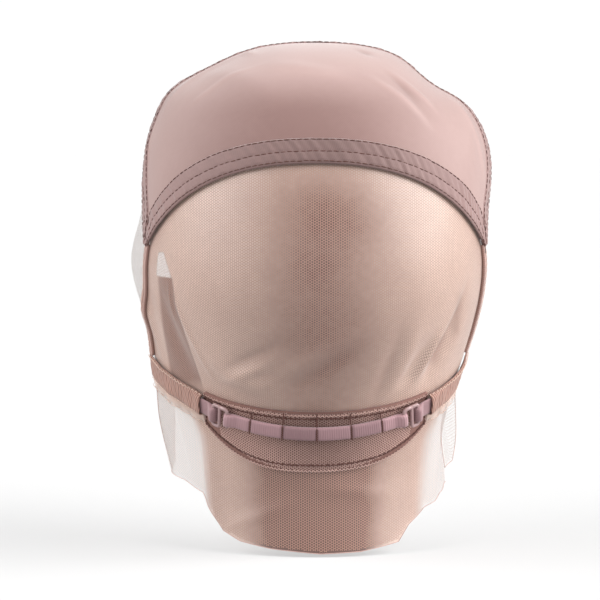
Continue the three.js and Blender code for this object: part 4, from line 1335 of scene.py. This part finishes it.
class WIGCAP_OT_guard(bpy.types.Operator):
    """Crescent of doubled net at the nape, with its seams"""

    bl_idname = "wigcap.guard"
    bl_label = "Nape guard"

    def execute(self, context):
        rows, columns = 20, 110
        slope = (HOOK_SLOPE + 2 * BAND_BEND * (GUARD_HALF_TURN - HOOK_TURN)) / DEGREE_LENGTH**2
        share = np.linspace(-1, 1, columns + 1)
        top, bottom = guard_edges(share)
        drop = lerp(top, bottom, np.linspace(0, 1, rows + 1)[:, None])
        slant = slope * (drop - band_drop(GUARD_HALF_TURN))
        base = hollow(share * (GUARD_HALF_TURN + slant), drop)
        points = raised(base, OVER_NET + 0.5)
        cloth = np.stack([path_lengths(points), drop], axis=-1)
        colour = colour_of("guard")
        material = cloth_material("Doubled net", colour, darker(colour, 0.5), 0.7, 0.15,
                                  mottle=70.0, weave=(1.2, 0.9), bump=0.3, shaded=True)
        # Painted shade, darkest at the middle of the guard
        shade = np.exp(-(((share * GUARD_HALF_TURN - 2) / 22) ** 2))
        piece = make_piece("guard_cloth", points, [grid_faces(rows, columns)], material, uv=cloth,
                           values={"shade": np.broadcast_to(0.7 * shade, drop.shape)})
        thicken(piece, SEWN_DEPTH)
        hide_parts("nape_guard")
        thread = cloth_material("Guard thread", colour_of("guard_thread"),
                                darker(colour_of("guard_thread"), 0.45), 0.6, 0.2, mottle=300.0,
                                shaded=True)

        def inside(middle):
            top, bottom = guard_edges(middle[..., 0] / DEGREE_LENGTH / GUARD_HALF_TURN)
            reach = np.abs(middle[..., 0]) < GUARD_HALF_TURN * DEGREE_LENGTH
            return reach & (middle[..., 1] > top - 0.1) & (middle[..., 1] < bottom + 0.1)

        flat, cells = honeycomb(
            (-46.0, NAPE_DROP - 8), (46.0, NAPE_DROP + 28), size_of("net_pitch"), inside,
            lambda middle: np.full(len(middle), size_of("guard_strand")),
        )
        points = hollow(flat[:, 0] / DEGREE_LENGTH, flat[:, 1])
        # Painted shade on the strands, as on the guard's cloth
        shade = 0.7 * np.exp(-(((flat[:, 0] / DEGREE_LENGTH - 2) / 22) ** 2))
        strands = make_piece("guard_strands", raised(points, OVER_NET + 0.65), cells, thread,
                             values={"shade": shade})
        dark = bpy.data.materials["Dark sewing thread"]
        over = raised(base, OVER_NET + 0.62)
        normals = outward(base)
        rim, rows_of = [], []
        for row, seam in ((1, 2), (-1, -3)):
            rows_of.append(zigzag_stitches(over[seam], normals[seam], 1.15, 1.0, 0.42, 0.12))
            rows_of.append(row_of_stitches(over[seam], normals[seam], 1.7, 0.4, 0.5, 0.12,
                                           wander=0.3, seed=7 + row))
            rim.append(zigzag_stitches(over[row], normals[row], 0.8, 0.9, 0.34, 0.1))
        for column in (1, -2):
            rows_of.append(row_of_stitches(over[:, column], normals[:, column], 1.2, 0.3, 0.45,
                                           0.12, wander=0.15, seed=9))
        points, faces = joined(rows_of)
        make_piece("guard_seams", points, faces, dark)
        points, faces = joined(rim)
        make_piece("guard_rims", points, faces, thread)
        return {"FINISHED"}


DEGREE_LENGTH = float(np.linalg.norm(band_point(HOOK_TURN + 0.5) - band_point(HOOK_TURN - 0.5)))
HOOK_MOUTH = 2.4
SLOT_WIDTH = 1.7
LOOP_INSET = 2.05
CASING_MOUTH = GUARD_HALF_TURN + 0.5 / DEGREE_LENGTH


def ribbon_height(turn):
    """Height of a ribbon's underside: over the guard, then down onto the net."""
    past = (np.abs(turn) - GUARD_HALF_TURN) * DEGREE_LENGTH
    return lerp(OVER_GUARD, OVER_NET, smoothstep(past, 0.8, 7.0))


def ribbon_body(turns, width, low, thickness, corners=14):
    """Closed ribbon on the band line: rings of a flattened superellipse at each turn."""
    angle = np.linspace(0, 2 * np.pi, corners, endpoint=False)
    across = np.sign(np.cos(angle)) * np.abs(np.cos(angle)) ** 0.45
    over = np.sign(np.sin(angle)) * np.abs(np.sin(angle)) ** 0.6
    width, low, thickness = (
        np.broadcast_to(np.asarray(value, float), turns.shape)[:, None]
        for value in (width, low, thickness)
    )
    height = low + thickness * (0.5 + 0.5 * over)
    points = band_at(turns[:, None], -across * width / 2, height)
    return points, ring_faces(len(turns), corners)


class WIGCAP_OT_casings(bpy.types.Operator):
    """Folded net channels over the elastics, their raw flanges, and their pale stitches"""

    bl_idname = "wigcap.casings"
    bl_label = "Casings and side seams"

    def execute(self, context):
        colour = colour_of("casing")
        material = cloth_material("Casing net", colour, darker(colour, 0.30), 0.7, 0.2,
                                  mottle=120.0, weave=(1.1, 1.0), bump=0.8, lines=True,
                                  woven=0.8)
        colour = colour_of("flange")
        raw = cloth_material("Raw net edge", colour, darker(colour, 0.55), 0.7, 0.2,
                             mottle=160.0, weave=(1.0, 0.9), bump=0.5, cover=True)
        pale = bpy.data.materials["Pale sewing thread"]
        edge = size_of("elastic_width") / 2 + CASING_WALL + CASING_ROOM
        far = HOOK_TURN + (3.2 - LOOP_INSET + size_of("elastic_length")) / DEGREE_LENGTH
        ups = np.linspace(-edge, edge, 17)
        skirt_ups = np.linspace(-edge - FLANGE_WIDTH, -edge + 0.6, 9)
        turns = np.linspace(CASING_MOUTH, SEAM_TURN, 120)
        run = turns[:, None] * DEGREE_LENGTH
        past = (turns - far) * DEGREE_LENGTH
        room = CASING_ROOM + 1.0 * (1 - smoothstep(past, 0.3, 7.0))
        roof = (ribbon_height(turns) + room + 0.85)[:, None]
        dome = np.clip(1 - (np.abs(ups) / edge) ** 6, 0, 1) ** 0.5
        pucker = 0.15 * np.sin(run * 1.9) * np.sin(run * 0.6 + ups) * dome
        height = lerp(OVER_NET + 0.8, roof, dome) + pucker
        torn = 0.5 * np.sin(run * 1.3) * np.sin(run * 0.47 + 1) + 0.25 * np.sin(run * 4.1)
        down = np.linspace(1, 0, len(skirt_ups))
        for name, side in (("left", -1), ("right", 1)):
            points = band_at(side * turns[:, None], ups, height)
            cloth = np.stack([run + 0.25 * ups, np.broadcast_to(ups, points.shape[:2])], axis=-1)
            piece = make_piece(f"casing_{name}_cloth", points,
                               [grid_faces(len(turns) - 1, len(ups) - 1, side < 0)], material,
                               uv=cloth)
            thicken(piece, 0.6)
            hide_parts(f"casing_{name}")
            up = skirt_ups + torn * down
            lift = OVER_NET + 0.55 + 0.35 * np.sin(run * 0.9) * down ** 2
            points = band_at(side * turns[:, None], up, lift)
            cloth = np.stack([np.broadcast_to(run, up.shape), up], axis=-1)
            flange = make_piece(f"casing_{name}_flange", points,
                                [grid_faces(len(turns) - 1, len(skirt_ups) - 1, side < 0)], raw,
                                uv=cloth, values={"cover": np.broadcast_to(
                                    0.9 - 0.25 * down, points.shape[:2])})
            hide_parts(f"casing_{name}")
            line = band_at(side * turns, edge - 0.4, OVER_NET + 1.4)
            low = band_at(side * turns, -edge - 0.2, OVER_NET + 1.0)
            rim = band_at(side * turns, (skirt_ups + torn * down)[:, 0] + 0.3, OVER_NET + 0.9)
            points, faces = joined([
                zigzag_stitches(line, outward(line), 1.2, 1.1, 0.4, 0.1),
                row_of_stitches(low, outward(low), 1.6, 0.4, 0.3, 0.1, wander=0.1, seed=31),
                zigzag_stitches(rim, outward(rim), 0.8, 0.5, 0.22, 0.05),
            ])
            make_piece(f"casing_{name}_thread", points, faces, pale)
        return {"FINISHED"}


def loop_swell(distance, plain, full):
    """Thickness at a distance from a looped end, swollen by a raised cosine round the wire."""
    away = np.minimum(np.abs(distance - LOOP_INSET) / 4.0, 1)
    swell = lerp(plain, full, (1 + np.cos(np.pi * away)) / 2)
    end = np.sqrt(np.clip(1 - (1 - np.clip(distance / 1.2, 0, 1)) ** 2, 0.02, 1))
    return swell * end


# Painted shade on each length of the strap, from one hook to the other
STRAP_SHADES = np.array([0.25, 0.45, 0.95, 0.60, 0.75, 0.10])


class WIGCAP_OT_ribbons(bpy.types.Operator):
    """Nape strap with its bars, and the two side elastics"""

    bl_idname = "wigcap.ribbons"
    bl_label = "Strap and elastics"

    def execute(self, context):
        full = size_of("wire_depth") + 2.7
        arm = size_of("wire_width") + HOOK_MOUTH
        bar = size_of("wire_width") + SLOT_WIDTH
        strap_end = HOOK_TURN - (arm - LOOP_INSET) / DEGREE_LENGTH
        turns = np.linspace(-strap_end, strap_end, 221)
        distance = (strap_end - np.abs(turns)) * DEGREE_LENGTH
        bars = np.array([-23.1, -11.5, 0.4, 12.4, 23.4])
        nip = np.exp(-((np.min(np.abs(turns[:, None] - bars), axis=1) / 0.7) ** 2))
        thick = loop_swell(distance, size_of("strap_thickness"), full) * (1 - 0.22 * nip)
        width = size_of("strap_width") * (1 - 0.03 * nip)
        points, faces = ribbon_body(turns, width, OVER_GUARD, thick)
        run = np.broadcast_to(((turns + strap_end) * DEGREE_LENGTH)[:, None], points.shape[:2])
        round_it = path_lengths(points)
        colour = colour_of("strap")
        ribbon = cloth_material("Strap ribbon", colour, darker(colour, 0.6), 0.5, 0.35,
                                mottle=150.0, weave=(0.95, 0.8), bump=0.9, shaded=True,
                                lines=True, woven=0.75)
        shade = STRAP_SHADES[np.searchsorted(bars, turns)]
        piece = make_piece("strap_ribbon", points, faces, ribbon,
                           uv=np.stack([run, round_it], axis=-1), values={
                               "shade": np.broadcast_to(shade[:, None], points.shape[:2])})
        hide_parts("nape_strap")
        dark = bpy.data.materials["Dark sewing thread"]
        parts = []
        for turn in bars:
            top = (NAPE_DROP - band_drop(turn)) * -1 + 1.0
            ups = np.linspace(-size_of("strap_width") / 2 - 0.4, top, 12)
            over = OVER_GUARD + size_of("strap_thickness") * 0.86
            height = np.where(ups < size_of("strap_width") / 2, over, OVER_GUARD + 0.2)
            line = band_at(turn, ups, height)
            parts.append(zigzag_stitches(line, outward(line), 0.42, 0.75, 0.42, 0.08))
        points, faces = joined(parts)
        make_piece("strap_bars", points, faces, dark)
        colour = colour_of("elastic")
        material = cloth_material("Ribbed elastic", colour, darker(colour, 0.6), 0.55, 0.3,
                                  mottle=150.0, weave=(0.5, 1.1), bump=0.9)
        for name, side in (("left", -1), ("right", 1)):
            start = HOOK_TURN + (bar - LOOP_INSET) / DEGREE_LENGTH
            distance = np.linspace(0, size_of("elastic_length"), 60)
            turns = start + distance / DEGREE_LENGTH
            thick = loop_swell(distance, 1.0, full)
            points, faces = ribbon_body(side * turns, size_of("elastic_width"),
                                        ribbon_height(turns), thick)
            if side < 0:
                faces = [face[:, ::-1] for face in faces]
            run = np.broadcast_to(distance[:, None], points.shape[:2])
            piece = make_piece(f"elastic_{name}_ribbon", points, faces, material,
                               uv=np.stack([run, path_lengths(points)], axis=-1))
            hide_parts(f"elastic_{name}")
        return {"FINISHED"}


def hook_frame(side):
    """Origin and axes of a hook: x along the band towards +X, y up, z out."""
    turn = np.array(side * HOOK_TURN)
    along, up, out = band_axes(turn)
    depth = size_of("wire_depth")
    return band_at(turn, 0.0, OVER_GUARD + 1.3 + depth / 2), along, up, out


class WIGCAP_OT_hooks(bpy.types.Operator):
    """Swan hooks of coated wire: a slotted ring for the elastic and an open arm"""

    bl_idname = "wigcap.hooks"
    bl_label = "Hooks"

    def execute(self, context):
        colour = colour_of("hook")
        coat = cloth_material("Coated hook", colour, darker(colour, 0.75), 0.28, 0.0, mottle=400.0)
        shader = coat.node_tree.nodes["Principled BSDF"]
        shader.inputs["Coat Weight"].default_value = 0.4
        shader.inputs["Specular IOR Level"].default_value = 0.5
        wire, depth = size_of("wire_width"), size_of("wire_depth")
        bar, arm = wire + SLOT_WIDTH, wire + HOOK_MOUTH
        high = size_of("elastic_width") / 2 + 0.3 + wire / 2
        toe = -(size_of("strap_width") / 2 + 0.9)
        ring = rounded_line([
            (-bar, -high), (0, -high), (0, high), (-bar, high),
        ], 0.9, closed=True)
        finger = rounded_line([(-0.2, high), (arm, high), (arm, toe)], 1.7, closed=False)
        for name, side in (("left", -1), ("right", 1)):
            origin, along, up, out = hook_frame(side)
            parts = []
            for line in (ring, finger):
                path = origin + np.outer(line[:, 0] * -side, along) + np.outer(line[:, 1], up)
                outs = np.broadcast_to(out, path.shape)
                swell = np.ones(len(path))
                if line is finger:
                    past = path_lengths(path)
                    swell = np.clip((past[-1] - past) / 0.5 + 0.25, 0, 1) ** 0.5
                parts.append(tube(path, outs, wire * swell, depth * swell, 12, 2.6))
            points, faces = joined(parts)
            piece = make_piece(f"hook_{name}_wire", points, faces, coat)
            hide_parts(f"hook_{name}")
        return {"FINISHED"}


def rounded_line(corners, radius_of, closed):
    """Line through corners, each turned on a quarter bend of a radius."""
    corners = np.array(corners, float)
    count = len(corners)
    line = []
    for number in range(count):
        here = corners[number]
        if not closed and number in (0, count - 1):
            line.append(here[None])
            continue
        before, after = corners[number - 1], corners[(number + 1) % count]
        a = here + unit(before - here) * radius_of
        b = here + unit(after - here) * radius_of
        t = np.linspace(0, 1, 7)[:, None]
        line.append((1 - t) ** 2 * a + 2 * t * (1 - t) * here + t**2 * b)
    line = np.concatenate(line)
    if closed:
        line = np.concatenate([line, line[:1]])
    return line


# Lights: turn round the cap, rise and spread in degrees, and strength, which is 1 where the light
# alone shows a white face turned to it as full white.
LIGHTS = (
    ("Right softbox", 75, 24, 70, 1.94),
    ("Left softbox", -75, 24, 76, 1.22),
    ("Front fill", 180, 35, 90, 0.10),
)
WORLD_STRENGTH = 0.25
PAPER_SEEN = 0.34
PAPER_BOUNCE = 0.10
PAPER_GLOW = 0.47


class WIGCAP_OT_stage(bpy.types.Operator):
    """White floor and backdrop, soft studio lights and the camera"""

    bl_idname = "wigcap.stage"
    bl_label = "Stage"

    def execute(self, context):
        scene = context.scene
        scene.view_settings.view_transform = "Standard"
        world = bpy.data.worlds.new("Studio")
        scene.world = world
        world.use_nodes = True
        tree = world.node_tree
        ray = add_node(tree, "ShaderNodeLightPath", (-400, 0))
        strength = add_node(tree, "ShaderNodeMapRange", (-200, 0))
        strength.inputs["To Min"].default_value = WORLD_STRENGTH
        strength.inputs["To Max"].default_value = 1.02
        tree.links.new(ray.outputs["Is Camera Ray"], strength.inputs["Value"])
        tree.nodes["Background"].inputs["Color"].default_value = (1, 1, 1, 1)
        tree.links.new(strength.outputs["Result"], tree.nodes["Background"].inputs["Strength"])
        reach, low = 40.0, float(CAD_BOX[0][2]) - 0.0015
        floor_mesh = bpy.data.meshes.new("floor")
        floor_mesh.from_pydata(
            [(-reach, -reach, low), (reach, -reach, low), (reach, reach, low), (-reach, reach, low)],
            [], [(0, 1, 2, 3)],
        )
        floor = bpy.data.objects.new("floor", floor_mesh)
        scene.collection.objects.link(floor)
        paper = bpy.data.materials.new("White paper")
        paper.use_nodes = True
        tree = paper.node_tree
        ray = add_node(tree, "ShaderNodeLightPath", (-600, 0))
        tone = add_node(tree, "ShaderNodeMix", (-300, 0), data_type="RGBA")
        tone.inputs[6].default_value = (PAPER_BOUNCE, PAPER_BOUNCE, PAPER_BOUNCE, 1)
        tone.inputs[7].default_value = (PAPER_SEEN, PAPER_SEEN, PAPER_SEEN, 1)
        tree.links.new(ray.outputs["Is Camera Ray"], tone.inputs[0])
        shader = tree.nodes["Principled BSDF"]
        tree.links.new(tone.outputs[2], shader.inputs["Base Color"])
        shader.inputs["Roughness"].default_value = 0.9
        shader.inputs["Specular IOR Level"].default_value = 0.0
        shader.inputs["Emission Color"].default_value = (1, 1, 1, 1)
        shader.inputs["Emission Strength"].default_value = PAPER_GLOW
        floor_mesh.materials.append(paper)
        for name, turn, rise, spread, strength in LIGHTS:
            lamp = bpy.data.lights.new(name, "SUN")
            lamp.angle = np.radians(spread)
            lamp.energy = strength * np.pi
            light = bpy.data.objects.new(name, lamp)
            turn, rise = np.radians(turn), np.radians(rise)
            away = Vector((np.sin(turn) * np.cos(rise), -np.cos(turn) * np.cos(rise), np.sin(rise)))
            light.location = away
            light.rotation_euler = (-away).to_track_quat("-Z", "Y").to_euler()
            scene.collection.objects.link(light)
        camera = bpy.data.cameras.new("Camera")
        camera.lens = 179.4
        camera.sensor_width = 36.0
        view = bpy.data.objects.new("Camera", camera)
        tilt = np.radians(3.0)
        target = Vector((-6.5 * MM, 0, -109.2 * MM))
        view.location = target + 1.3 * Vector((0, -np.cos(tilt), np.sin(tilt)))
        view.rotation_euler = (target - view.location).to_track_quat("-Z", "Y").to_euler()
        scene.collection.objects.link(view)
        scene.camera = view
        return {"FINISHED"}


class WIGCAP_PT_sidebar(bpy.types.Panel):
    """List of the cap's pieces in the sidebar"""

    bl_idname = "WIGCAP_PT_sidebar"
    bl_label = "Wig cap"
    bl_space_type = "VIEW_3D"
    bl_region_type = "UI"
    bl_category = "Wig cap"

    def draw(self, context):
        for operator in OPERATORS:
            self.layout.operator(operator.bl_idname)
        for group in (context.scene.wig_cap_sizes, context.scene.wig_cap_colours):
            box = self.layout.box()
            for name in group.bl_rna.properties.keys():
                if name not in ("rna_type", "name"):
                    box.prop(group, name)


OPERATORS = (
    WIGCAP_OT_panel,
    WIGCAP_OT_hems,
    WIGCAP_OT_side_seams,
    WIGCAP_OT_back_net,
    WIGCAP_OT_front_net,
    WIGCAP_OT_raw_edges,
    WIGCAP_OT_guard,
    WIGCAP_OT_casings,
    WIGCAP_OT_ribbons,
    WIGCAP_OT_hooks,
    WIGCAP_OT_stage,
)
CLASSES = (WigCapSizes, WigCapColours, *OPERATORS, WIGCAP_PT_sidebar)


def register():
    """Adds the classes, and the sizes and colours to the scene."""
    for entry in CLASSES:
        bpy.utils.register_class(entry)
    bpy.types.Scene.wig_cap_sizes = bpy.props.PointerProperty(type=WigCapSizes)
    bpy.types.Scene.wig_cap_colours = bpy.props.PointerProperty(type=WigCapColours)


def unregister():
    """Takes away what register adds."""
    del bpy.types.Scene.wig_cap_colours
    del bpy.types.Scene.wig_cap_sizes
    for entry in reversed(CLASSES):
        bpy.utils.unregister_class(entry)


def main():
    register()
    for operator in OPERATORS:
        group, name = operator.bl_idname.split(".")
        getattr(getattr(bpy.ops, group), name)()


if __name__ == "__main__":
    main()
